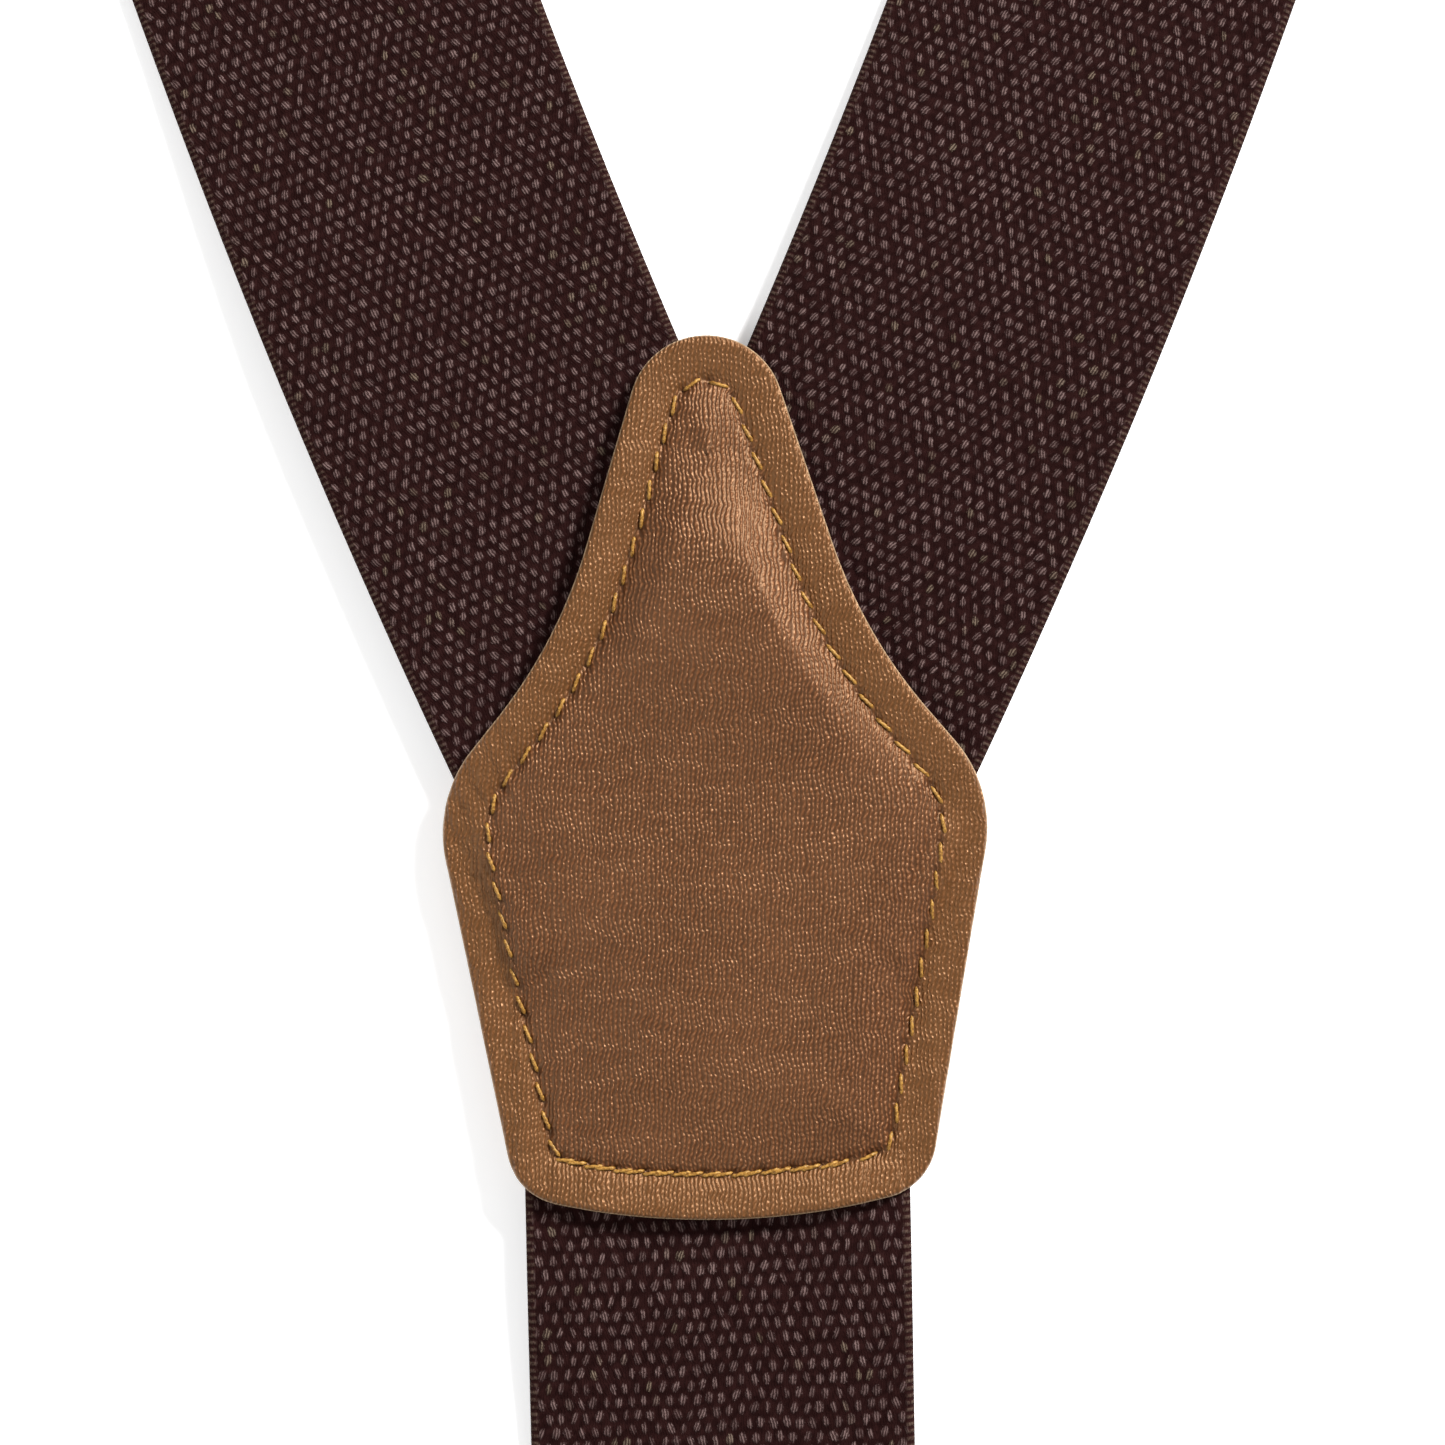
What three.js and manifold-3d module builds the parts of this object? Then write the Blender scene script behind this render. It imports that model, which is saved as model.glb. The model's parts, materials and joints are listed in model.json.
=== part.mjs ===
// Y-back suspenders laid flat with their outer faces up: two elastic shoulder straps and one back strap
// joined under a stitched leather patch, with a sliding clamp adjuster on each front strap and a toothed
// lever clip on all three ends.
//
// Units are millimetres. +Z is up from the surface they lie on, +Y runs from the patch to the front clips
// and the origin is under the middle of the patch. Strap ends are built in a local frame whose +Y points
// outward, to the clip's mouth.

import * as THREE from "three";
import { mergeVertices } from "three/addons/utils/BufferGeometryUtils.js";
import Module from "manifold-3d";

const wasm = await Module();
wasm.setup();

// ---------------------------------------------------------------- driving sizes

// Webbing, leather and the clearances between neighbours.
const STRAP_WIDTH = 35;
const STRAP_THICKNESS = 1.5;
const LEATHER_THICKNESS = 1.2;
const TOUCH_GAP = 0.3;
const SIDE_CLEARANCE = 0.8;

// Layout of the three straps.
const LANE_OFFSET = 83.94;
const LANE_START = 347.8;
const SHOULDER_RADIUS = 800;
const SHOULDER_END = -8;
const FRONT_CLIP_AT = 752;
const FRONT_ADJUSTER_AT = 596;
const ADJUSTER_TRAVEL = 60;
const BACK_STRAP_TOP = 17.3;
const BACK_STRAP_SHIFT = -0.45;
const BACK_CLIP_AT = 198;
const PATCH_TILT = 1.2;

// Outline of the leather patch, walked clockwise from the middle of its top.
const PATCH_HALF_LENGTH = 39.9;
const KNOB_RADIUS = 7;
const FLANK_ANGLE = 17.5;
const FLANK_LENGTH = 14.7;
const WAIST_RADIUS = 45;
const WAIST_TURN = 22.5;
const WAIST_RUN = 3.6;
const SHOULDER_CORNER_RADIUS = 12;
const SIDE_TAPER = 10.7;
const SIDE_LENGTH = 27.3;
const BASE_CORNER_RADIUS = 5.5;
const BASE_RISE = 12.7;
const STITCH_INSET = 4;
const THREAD_WIDTH = 0.5;
const THREAD_HEIGHT = 0.4;

// Strap loop round the clip's bar.
const BAR_RADIUS = 1;
const LOOP_REACH = 10;
const BACK_TAIL_LENGTH = 34;
const BAR_TACK_LENGTH = 12;
const BAR_TACK_INSET = 4;
const BAR_TACK_AT = 24;

// Clip.
const PLATE_THICKNESS = 1.5;
const SHEET_THICKNESS = 1.2;
const ARM_WIDTH = 2.2;
const SLOT_END = 6.2;
const SHOULDER_DEPTH = 3;
const TAPER_DEPTH = 6;
const CLIP_WIDTH = 28;
const CLIP_LENGTH = 45;
const CLIP_CORNER = 5;
const PIN_RADIUS = 0.9;
const PIN_HEAD_RADIUS = 1.6;
const PIN_HEAD_HEIGHT = 0.6;
const TAB_RADIUS = 2.1;
const LEVER_PIN_AT = 12;
const LEVER_PIN_HEIGHT = 7;
const JAW_PIN_AT = 18;
const JAW_PIN_HEIGHT = 5.6;
const EAR_MARGIN = 2.6;
const LEVER_LIP = 3;
const PAD_WIDTH = 19;
const PAD_START = 27;
const PAD_END = 43;
const TOOTH_PITCH = 2;
const TOOTH_HEIGHT = 0.6;
const PAD_GAP = 0.4;

// Adjuster.
const RAIL_WIDTH = 2;
const RAIL_LENGTH = 26;
const RAIL_HEIGHT = 7.4;
const ANCHOR_LENGTH = 6;
const ANCHOR_THICKNESS = 1;
const CROSS_BAR_LENGTH = 3;
const CLAMP_PIN_INSET = 4;
const CLAMP_LENGTH = 22;
const CLAMP_RIB = 2.4;
const TAIL_LENGTH = 20;

// ---------------------------------------------------------------- derived sizes

const HALF_STRAP = STRAP_WIDTH / 2;
const LAYER_STEP = STRAP_THICKNESS + TOUCH_GAP;
const PATCH_LAYER_ONE = LEATHER_THICKNESS + TOUCH_GAP;
const PATCH_LAYER_TWO = PATCH_LAYER_ONE + LAYER_STEP;
const PATCH_TOP_LAYER = PATCH_LAYER_TWO + LAYER_STEP;
const PATCH_TOP = PATCH_TOP_LAYER + LEATHER_THICKNESS;

const LOOP_MID_RADIUS = BAR_RADIUS + TOUCH_GAP + STRAP_THICKNESS / 2;
const BAR_HEIGHT = LOOP_MID_RADIUS + STRAP_THICKNESS / 2;
const UPPER_LAYER = 2 * LOOP_MID_RADIUS;

const ANCHOR_MID_RADIUS = ANCHOR_THICKNESS / 2 + TOUCH_GAP + STRAP_THICKNESS / 2;
const ANCHOR_HEIGHT = ANCHOR_MID_RADIUS + STRAP_THICKNESS / 2;
const TAIL_LAYER = 2 * ANCHOR_MID_RADIUS;
const ADJUSTER_LAYER = TAIL_LAYER + LAYER_STEP;

const FRAME_INNER = HALF_STRAP + SIDE_CLEARANCE;
const HALF_CLIP = CLIP_WIDTH / 2;
const EAR_INNER = HALF_CLIP - SHEET_THICKNESS;
const LEVER_HALF = EAR_INNER - 0.5;
const JAW_HALF = LEVER_HALF - SHEET_THICKNESS - 0.6;
const HOLE_RADIUS = PIN_RADIUS + TOUCH_GAP;
const JAW_TOP = JAW_PIN_HEIGHT + SHEET_THICKNESS / 2;
const JAW_BOTTOM = JAW_PIN_HEIGHT - SHEET_THICKNESS / 2;
const LEVER_BOTTOM = Math.max(JAW_PIN_HEIGHT + TAB_RADIUS + TOUCH_GAP, LEVER_PIN_HEIGHT + PIN_RADIUS + 0.1);
const LEVER_TOP = LEVER_BOTTOM + SHEET_THICKNESS;

// ---------------------------------------------------------------- materials

const FINISH = {
  webbing: { color: 0x3c2a28, roughness: 0.9, metalness: 0 },
  leather: { color: 0x7b5640, roughness: 0.55, metalness: 0 },
  lining: { color: 0x5a4436, roughness: 0.85, metalness: 0 },
  thread: { color: 0xa8742a, roughness: 0.6, metalness: 0 },
  nickel: { color: 0xc4c4c2, roughness: 0.28, metalness: 1 },
  teeth: { color: 0x1c1a1a, roughness: 0.5, metalness: 0 },
};

function finish(name) {
  return new THREE.MeshStandardMaterial(FINISH[name]);
}

// ---------------------------------------------------------------- geometry helpers

function welded(geometry) {
  const bare = geometry.index ? geometry.toNonIndexed() : geometry.clone();
  bare.deleteAttribute("normal");
  bare.deleteAttribute("uv");
  return mergeVertices(bare, 1e-4);
}

function solid(geometry) {
  const body = welded(geometry);
  return new wasm.Manifold(
    new wasm.Mesh({
      numProp: 3,
      vertProperties: new Float32Array(body.attributes.position.array),
      triVerts: new Uint32Array(body.index.array),
    }),
  );
}

function surface(manifold) {
  const mesh = manifold.getMesh();
  const geometry = new THREE.BufferGeometry();
  geometry.setAttribute("position", new THREE.BufferAttribute(new Float32Array(mesh.vertProperties), 3));
  geometry.setIndex(new THREE.BufferAttribute(new Uint32Array(mesh.triVerts), 1));
  geometry.computeVertexNormals();
  return geometry;
}

function joined(solids) {
  return solids.reduce((whole, next) => whole.add(next));
}

function block(xRange, yRange, zRange) {
  const [x0, x1] = xRange;
  const [y0, y1] = yRange;
  const [z0, z1] = zRange;
  const box = new THREE.BoxGeometry(x1 - x0, y1 - y0, z1 - z0);
  box.translate((x0 + x1) / 2, (y0 + y1) / 2, (z0 + z1) / 2);
  return solid(box);
}

// A rod along X, centred on x = 0.
function rod(radius, length, y, z, sides = 20) {
  const cylinder = new THREE.CylinderGeometry(radius, radius, length, sides);
  cylinder.rotateZ(Math.PI / 2);
  cylinder.translate(0, y, z);
  return solid(cylinder);
}

// A plate cut from an XY outline, standing from z0 to z1.
function plate(outline, z0, z1) {
  const shape = new THREE.Shape(outline);
  const body = new THREE.ExtrudeGeometry(shape, { depth: z1 - z0, bevelEnabled: false });
  body.translate(0, 0, z0);
  return body;
}

// A seam thread lying on z: the band between an outer and an inner outline.
function seam(outer, inner, z) {
  const band = solid(plate(outer, z, z + THREAD_HEIGHT));
  return surface(band.subtract(solid(plate(inner, z - THREAD_HEIGHT, z + 2 * THREAD_HEIGHT))));
}

// A sheet cut from a side view of (y, z) points, standing from x0 to x1.
function sideSheet(profile, x0, x1) {
  const shape = new THREE.Shape(profile.map(([y, z]) => new THREE.Vector2(y, z)));
  const body = new THREE.ExtrudeGeometry(shape, { depth: x1 - x0, bevelEnabled: false });
  body.applyMatrix4(new THREE.Matrix4().makeBasis(
    new THREE.Vector3(0, 1, 0),
    new THREE.Vector3(0, 0, 1),
    new THREE.Vector3(1, 0, 0),
  ));
  body.translate(x0, 0, 0);
  return solid(body);
}

// The same sheet on both sides of the centre plane.
function bothSides(profile, inner, outer) {
  return sideSheet(profile, inner, outer).add(sideSheet(profile, -outer, -inner));
}

function pin(halfSpan, y, z) {
  const heads = [-1, 1].map((side) => {
    const head = new THREE.CylinderGeometry(PIN_HEAD_RADIUS, PIN_HEAD_RADIUS, PIN_HEAD_HEIGHT, 20);
    head.rotateZ(Math.PI / 2);
    head.translate(side * (halfSpan + TOUCH_GAP + PIN_HEAD_HEIGHT / 2), y, z);
    return solid(head);
  });
  const shank = rod(PIN_RADIUS, 2 * (halfSpan + TOUCH_GAP) + PIN_HEAD_HEIGHT, y, z);
  return surface(joined([shank, ...heads]));
}

// Height along a run: smooth ramps between (y, z) keys in order of y.
function ramped(keys, y) {
  const next = keys.findIndex(([at]) => at > y);
  if (next < 0) return keys[keys.length - 1][1];
  if (next === 0) return keys[0][1];
  const [y0, z0] = keys[next - 1];
  const [y1, z1] = keys[next];
  return z0 + (z1 - z0) * THREE.MathUtils.smoothstep(y, y0, y1);
}

// Webbing swept along stations, each a point on its middle plane with the direction of its width.
function webbing(stations) {
  const rows = stations.length;
  const band = new THREE.BoxGeometry(STRAP_WIDTH, rows - 1, STRAP_THICKNESS, 1, rows - 1, 1);
  const position = band.attributes.position;
  const tangents = stations.map((station, i) => {
    const ahead = stations[Math.min(i + 1, rows - 1)].point;
    const behind = stations[Math.max(i - 1, 0)].point;
    return ahead.clone().sub(behind).normalize();
  });
  for (let i = 0; i < position.count; i += 1) {
    const row = Math.round(position.getY(i) + (rows - 1) / 2);
    const { point, across } = stations[row];
    const up = across.clone().cross(tangents[row]).normalize();
    const moved = point.clone()
      .addScaledVector(across, position.getX(i))
      .addScaledVector(up, position.getZ(i));
    position.setXYZ(i, moved.x, moved.y, moved.z);
  }
  return welded(band);
}

// Stations of a half turn round a bar at (y, z), clockwise as seen from -X from a start angle.
function halfTurn(y, z, radius, startAngle, steps = 10) {
  return Array.from({ length: steps + 1 }, (_, i) => {
    const angle = startAngle - (Math.PI * i) / steps;
    const point = new THREE.Vector3(0, y + radius * Math.cos(angle), z + radius * Math.sin(angle));
    return { point, across: new THREE.Vector3(1, 0, 0) };
  });
}

// Stations of a straight run along Y whose underside follows heightAt.
function straightRun(from, to, heightAt, steps = 1) {
  return Array.from({ length: steps + 1 }, (_, i) => {
    const y = THREE.MathUtils.lerp(from, to, i / steps);
    const point = new THREE.Vector3(0, y, heightAt(y) + STRAP_THICKNESS / 2);
    return { point, across: new THREE.Vector3(1, 0, 0) };
  });
}

// ---------------------------------------------------------------- patch outline

// Right half of the patch outline, moved inward by inset, then mirrored.
function patchOutline(inset, arcStep = 9) {
  const points = [];
  const at = new THREE.Vector2(0, PATCH_HALF_LENGTH - inset);
  let heading = 0;
  const mark = () => points.push(at.clone());
  const line = (length) => {
    at.x += length * Math.cos(heading);
    at.y += length * Math.sin(heading);
    mark();
  };
  const arc = (radius, turn, limit = arcStep) => {
    const steps = Math.max(2, Math.ceil(Math.abs(turn) / limit));
    const slice = THREE.MathUtils.degToRad(turn) / steps;
    for (let i = 0; i < steps; i += 1) {
      heading -= slice / 2;
      const chord = 2 * radius * Math.sin(Math.abs(slice) / 2);
      line(chord);
      heading -= slice / 2;
    }
  };
  mark();
  arc(KNOB_RADIUS - inset, 90 - FLANK_ANGLE);
  line(FLANK_LENGTH);
  arc(WAIST_RADIUS + inset, -WAIST_TURN, 4);
  line(WAIST_RUN);
  arc(SHOULDER_CORNER_RADIUS - inset, FLANK_ANGLE + WAIST_TURN + SIDE_TAPER);
  line(SIDE_LENGTH);
  arc(BASE_CORNER_RADIUS - inset, 90 - SIDE_TAPER - BASE_RISE);
  const baseRadius = at.x / Math.sin(THREE.MathUtils.degToRad(BASE_RISE));
  arc(baseRadius, BASE_RISE, 4);
  points[points.length - 1].x = 0;
  const top = PATCH_HALF_LENGTH - inset;
  const stretch = (2 * top) / (top - at.y);
  for (const point of points) {
    point.y = top - (top - point.y) * stretch;
  }
  const mirrored = points.slice(1, -1).reverse().map((point) => new THREE.Vector2(-point.x, point.y));
  return [...points, ...mirrored];
}

// ---------------------------------------------------------------- sub-assemblies

function place(parent, name, geometry, finishName) {
  const mesh = new THREE.Mesh(geometry, finish(finishName));
  mesh.name = name;
  parent.add(mesh);
}

// Leather face and lining with the seam thread that holds the straps between them.
function addPatch(parent) {
  place(parent, "patch_back", plate(patchOutline(0), 0, LEATHER_THICKNESS), "lining");
  place(parent, "patch_front", plate(patchOutline(0), PATCH_TOP_LAYER, PATCH_TOP), "leather");
  const outer = patchOutline(STITCH_INSET - THREAD_WIDTH / 2);
  const inner = patchOutline(STITCH_INSET + THREAD_WIDTH / 2);
  place(parent, "patch_thread", seam(outer, inner, PATCH_TOP + TOUCH_GAP), "thread");
}

// A shoulder strap from its end inside the patch to the clip's loop. It leaves the patch at an angle,
// bends in its own plane until it is parallel to Y, and rises to pass over the adjuster's tail.
function addShoulderStrap(parent, side, name, patchLayer) {
  const railEnd = RAIL_LENGTH / 2;
  const loopStart = FRONT_CLIP_AT - LOOP_REACH - TOUCH_GAP;
  const keys = [
    [PATCH_HALF_LENGTH - 2, patchLayer],
    [PATCH_HALF_LENGTH + 38, 0],
    [FRONT_ADJUSTER_AT - railEnd - 50, 0],
    [FRONT_ADJUSTER_AT - railEnd - 4, ADJUSTER_LAYER],
    [FRONT_ADJUSTER_AT + ADJUSTER_TRAVEL + railEnd + 8, ADJUSTER_LAYER],
    [loopStart - 4, UPPER_LAYER],
  ];
  const steepest = Math.asin((LANE_START - SHOULDER_END) / SHOULDER_RADIUS);
  const arcSteps = 38;
  const bend = Array.from({ length: arcSteps }, (_, i) => {
    const angle = steepest * (1 - i / arcSteps);
    const x = side * (LANE_OFFSET - SHOULDER_RADIUS * (1 - Math.cos(angle)));
    const y = LANE_START - SHOULDER_RADIUS * Math.sin(angle);
    return {
      point: new THREE.Vector3(x, y, ramped(keys, y) + STRAP_THICKNESS / 2),
      across: new THREE.Vector3(Math.cos(angle), -side * Math.sin(angle), 0),
    };
  });
  const straight = straightRun(LANE_START, loopStart, (y) => ramped(keys, y), 46);
  straight.forEach(({ point }) => point.setX(side * LANE_OFFSET));
  place(parent, name, webbing([...bend, ...straight]), "webbing");
}

// The strap's turn round the clip's bar.
function addStrapLoop(parent, name) {
  const stations = [
    ...straightRun(FRONT_CLIP_AT - LOOP_REACH, FRONT_CLIP_AT, () => UPPER_LAYER),
    ...halfTurn(FRONT_CLIP_AT, BAR_HEIGHT, LOOP_MID_RADIUS, Math.PI / 2).slice(1),
    ...straightRun(FRONT_CLIP_AT, FRONT_CLIP_AT - LOOP_REACH, () => 0).slice(1),
  ];
  place(parent, name, webbing(stations), "webbing");
}

// The strap's run back from the clip, folded round the adjuster's anchor bar and sewn down.
function addStrapReturn(parent, name) {
  const anchorAt = FRONT_ADJUSTER_AT - ANCHOR_THICKNESS;
  const stations = [
    ...straightRun(FRONT_CLIP_AT - LOOP_REACH - TOUCH_GAP, anchorAt, () => 0, 8),
    ...halfTurn(anchorAt, ANCHOR_HEIGHT, ANCHOR_MID_RADIUS, -Math.PI / 2, 8).slice(1),
    ...straightRun(anchorAt, anchorAt + TAIL_LENGTH, () => TAIL_LAYER).slice(1),
  ];
  place(parent, name, webbing(stations), "webbing");
}

// The back strap from under the patch, round the back clip's bar and sewn to its own underside.
function addBackStrap(parent) {
  const tailEnd = BACK_CLIP_AT - BACK_TAIL_LENGTH;
  const keys = [
    [PATCH_HALF_LENGTH + 2, PATCH_LAYER_ONE],
    [PATCH_HALF_LENGTH + 26, 0],
    [tailEnd - 38, 0],
    [tailEnd - 4, UPPER_LAYER],
  ];
  const stations = [
    ...straightRun(BACK_STRAP_TOP, BACK_CLIP_AT, (y) => ramped(keys, y), 44),
    ...halfTurn(BACK_CLIP_AT, BAR_HEIGHT, LOOP_MID_RADIUS, Math.PI / 2).slice(1),
    ...straightRun(BACK_CLIP_AT, tailEnd, () => 0).slice(1),
  ];
  place(parent, "back_strap", webbing(stations), "webbing");
  const tackEnd = BACK_CLIP_AT - BAR_TACK_AT;
  const seamLow = UPPER_LAYER + STRAP_THICKNESS + TOUCH_GAP;
  const tackRing = (grow) => {
    const halfWidth = HALF_STRAP - BAR_TACK_INSET + grow;
    const from = tackEnd - BAR_TACK_LENGTH - grow;
    const to = tackEnd + grow;
    return [[-halfWidth, from], [halfWidth, from], [halfWidth, to], [-halfWidth, to]]
      .map(([x, y]) => new THREE.Vector2(x, y));
  };
  const tack = seam(tackRing(THREAD_WIDTH / 2), tackRing(-THREAD_WIDTH / 2), seamLow);
  place(parent, "back_strap_thread", tack, "thread");
}

// A disc profile in (y, z), used for the tabs that a pin passes through.
function disc(radius, y, z, sides = 20) {
  return Array.from({ length: sides }, (_, i) => {
    const angle = (2 * Math.PI * i) / sides;
    return [y + radius * Math.cos(angle), z + radius * Math.sin(angle)];
  });
}

// A tongue that narrows in steps of half widths from one end, with two rounded corners at its tip.
function tongue(sides, tipY, corner) {
  const tipHalf = sides[sides.length - 1][0];
  const right = sides.map(([x, y]) => new THREE.Vector2(x, y));
  for (let i = 0; i <= 5; i += 1) {
    const angle = (Math.PI / 2) * (i / 5);
    const x = tipHalf - corner + corner * Math.cos(angle);
    right.push(new THREE.Vector2(x, tipY - corner + corner * Math.sin(angle)));
  }
  const left = right.map((point) => new THREE.Vector2(-point.x, point.y)).reverse();
  return [...right, ...left];
}

function clipBase() {
  const frameOuter = FRAME_INNER + ARM_WIDTH;
  const shoulderEnd = SLOT_END + SHOULDER_DEPTH;
  const body = solid(plate(tongue([
    [frameOuter, SLOT_END],
    [frameOuter, shoulderEnd],
    [HALF_CLIP, shoulderEnd + TAPER_DEPTH],
  ], CLIP_LENGTH, CLIP_CORNER), 0, PLATE_THICKNESS));
  const arms = bothSides([
    [-BAR_RADIUS, BAR_HEIGHT - BAR_RADIUS],
    [SLOT_END / 2, 0],
    [SLOT_END + 1, 0],
    [SLOT_END + 1, PLATE_THICKNESS],
    [BAR_RADIUS, BAR_HEIGHT + BAR_RADIUS],
    [-BAR_RADIUS, BAR_HEIGHT + BAR_RADIUS],
  ], FRAME_INNER, frameOuter);
  const bar = rod(BAR_RADIUS, 2 * frameOuter, 0, BAR_HEIGHT);
  const ears = bothSides([
    [LEVER_PIN_AT - EAR_MARGIN, PLATE_THICKNESS / 2],
    [JAW_PIN_AT + EAR_MARGIN, PLATE_THICKNESS / 2],
    [JAW_PIN_AT + EAR_MARGIN, JAW_PIN_HEIGHT + 1],
    [JAW_PIN_AT + 1, JAW_PIN_HEIGHT + EAR_MARGIN],
    [LEVER_PIN_AT + 1, LEVER_PIN_HEIGHT + EAR_MARGIN],
    [LEVER_PIN_AT - 1, LEVER_PIN_HEIGHT + EAR_MARGIN],
    [LEVER_PIN_AT - EAR_MARGIN, LEVER_PIN_HEIGHT + 1],
  ], EAR_INNER, HALF_CLIP);
  const holes = rod(HOLE_RADIUS, 3 * CLIP_WIDTH, LEVER_PIN_AT, LEVER_PIN_HEIGHT)
    .add(rod(HOLE_RADIUS, 3 * CLIP_WIDTH, JAW_PIN_AT, JAW_PIN_HEIGHT));
  return surface(joined([body, arms, bar, ears]).subtract(holes));
}

function clipJaw() {
  const face = solid(plate(tongue([
    [JAW_HALF, JAW_PIN_AT + HOLE_RADIUS + TOUCH_GAP],
  ], CLIP_LENGTH - 1, CLIP_CORNER - 1), JAW_BOTTOM, JAW_TOP));
  const tabs = bothSides(disc(TAB_RADIUS, JAW_PIN_AT, JAW_PIN_HEIGHT), JAW_HALF - SHEET_THICKNESS, JAW_HALF);
  return surface(face.add(tabs).subtract(rod(HOLE_RADIUS, CLIP_WIDTH, JAW_PIN_AT, JAW_PIN_HEIGHT)));
}

function clipLever() {
  const cover = solid(plate(tongue([
    [LEVER_HALF, LEVER_PIN_AT - TAB_RADIUS],
  ], CLIP_LENGTH + LEVER_LIP, CLIP_CORNER), LEVER_BOTTOM, LEVER_TOP));
  const tabs = bothSides(
    disc(TAB_RADIUS, LEVER_PIN_AT, LEVER_PIN_HEIGHT),
    LEVER_HALF - SHEET_THICKNESS,
    LEVER_HALF,
  );
  const padMiddle = (PAD_START + PAD_END) / 2;
  const cam = block(
    [-PAD_WIDTH / 4, PAD_WIDTH / 4],
    [padMiddle - 2 * TOOTH_PITCH, padMiddle + TOOTH_PITCH],
    [JAW_TOP + TOUCH_GAP, LEVER_BOTTOM + SHEET_THICKNESS / 2],
  );
  const hole = rod(HOLE_RADIUS, CLIP_WIDTH, LEVER_PIN_AT, LEVER_PIN_HEIGHT);
  return surface(joined([cover, tabs, cam]).subtract(hole));
}

// A toothed gripping pad whose teeth face the other pad's across an even gap.
function clipPad(flatHeight, facing) {
  const middle = (PLATE_THICKNESS + JAW_BOTTOM) / 2 + (facing * PAD_GAP) / 2;
  const halfTeeth = Math.round((2 * (PAD_END - PAD_START)) / TOOTH_PITCH);
  const teeth = Array.from({ length: halfTeeth + 1 }, (_, i) => {
    const y = THREE.MathUtils.lerp(PAD_START, PAD_END, i / halfTeeth);
    return [y, middle + (i % 2 ? TOOTH_HEIGHT : -TOOTH_HEIGHT) / 2];
  });
  const profile = [[PAD_START, flatHeight], [PAD_END, flatHeight], ...teeth.reverse()];
  return surface(sideSheet(facing > 0 ? profile.reverse() : profile, -PAD_WIDTH / 2, PAD_WIDTH / 2));
}

function addClip(parent, prefix, clipAt) {
  const clip = new THREE.Group();
  clip.position.set(0, clipAt, 0);
  parent.add(clip);
  place(clip, `${prefix}_clip_base`, clipBase(), "nickel");
  place(clip, `${prefix}_clip_base_pad`, clipPad(PLATE_THICKNESS + TOUCH_GAP, -1), "teeth");
  place(clip, `${prefix}_clip_jaw_pin`, pin(HALF_CLIP, JAW_PIN_AT, JAW_PIN_HEIGHT), "nickel");
  place(clip, `${prefix}_clip_lever_pin`, pin(HALF_CLIP, LEVER_PIN_AT, LEVER_PIN_HEIGHT), "nickel");
  place(clip, `${prefix}_clip_jaw`, clipJaw(), "nickel");
  place(clip, `${prefix}_clip_jaw_pad`, clipPad(JAW_BOTTOM - TOUCH_GAP, 1), "teeth");
  place(clip, `${prefix}_clip_lever`, clipLever(), "nickel");
}

// Sliding adjuster: a frame of two rails with an anchor bar for the sewn tail and a cross bar, and a
// clamp that hinges on a pin and presses the running strap against them.
function addAdjuster(parent, prefix) {
  const adjuster = new THREE.Group();
  adjuster.position.set(0, FRONT_ADJUSTER_AT, 0);
  parent.add(adjuster);
  const railEnd = RAIL_LENGTH / 2;
  const railOuter = FRAME_INNER + RAIL_WIDTH;
  const knuckleRadius = HOLE_RADIUS + 0.7;
  const strapTop = ADJUSTER_LAYER + STRAP_THICKNESS;
  const pinAt = CLAMP_PIN_INSET - railEnd;
  const pinHeight = strapTop + TOUCH_GAP + knuckleRadius;
  const barLow = ANCHOR_HEIGHT - ANCHOR_THICKNESS / 2;
  const barHigh = ANCHOR_HEIGHT + ANCHOR_THICKNESS / 2;
  const barSpan = [-FRAME_INNER - RAIL_WIDTH / 2, FRAME_INNER + RAIL_WIDTH / 2];
  const rails = bothSides([
    [-railEnd, 0],
    [railEnd, 0],
    [railEnd, RAIL_HEIGHT],
    [pinAt + 2 * EAR_MARGIN, RAIL_HEIGHT],
    [pinAt + EAR_MARGIN, pinHeight + TAB_RADIUS],
    [pinAt - 1, pinHeight + TAB_RADIUS],
    [-railEnd, pinHeight],
  ], FRAME_INNER, railOuter);
  const anchor = block(barSpan, [-ANCHOR_THICKNESS, ANCHOR_LENGTH - ANCHOR_THICKNESS], [barLow, barHigh]);
  const crossBar = block(barSpan, [railEnd - 1 - CROSS_BAR_LENGTH, railEnd - 1], [barLow, barHigh]);
  const pinHole = rod(HOLE_RADIUS, 3 * STRAP_WIDTH, pinAt, pinHeight);
  const frame = joined([rails, anchor, crossBar]).subtract(pinHole);
  place(adjuster, `${prefix}_adjuster_frame`, surface(frame), "nickel");
  place(adjuster, `${prefix}_adjuster_pin`, pin(railOuter, pinAt, pinHeight), "nickel");

  const clampHalf = FRAME_INNER - SIDE_CLEARANCE;
  const sheetLow = pinHeight - SHEET_THICKNESS / 2;
  const knuckle = rod(knuckleRadius, 2 * clampHalf, pinAt, pinHeight);
  const cover = solid(plate(
    tongue([[clampHalf, pinAt]], pinAt + CLAMP_LENGTH, CLIP_CORNER),
    sheetLow,
    sheetLow + SHEET_THICKNESS,
  ));
  const rib = block(
    [-clampHalf + CLIP_CORNER, clampHalf - CLIP_CORNER],
    [ANCHOR_THICKNESS, ANCHOR_THICKNESS + CLAMP_RIB],
    [strapTop + TOUCH_GAP, sheetLow + SHEET_THICKNESS / 2],
  );
  place(adjuster, `${prefix}_adjuster_clamp`, surface(joined([knuckle, cover, rib]).subtract(pinHole)), "nickel");
}

// ---------------------------------------------------------------- assembly

const suspenders = new THREE.Group();

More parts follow.
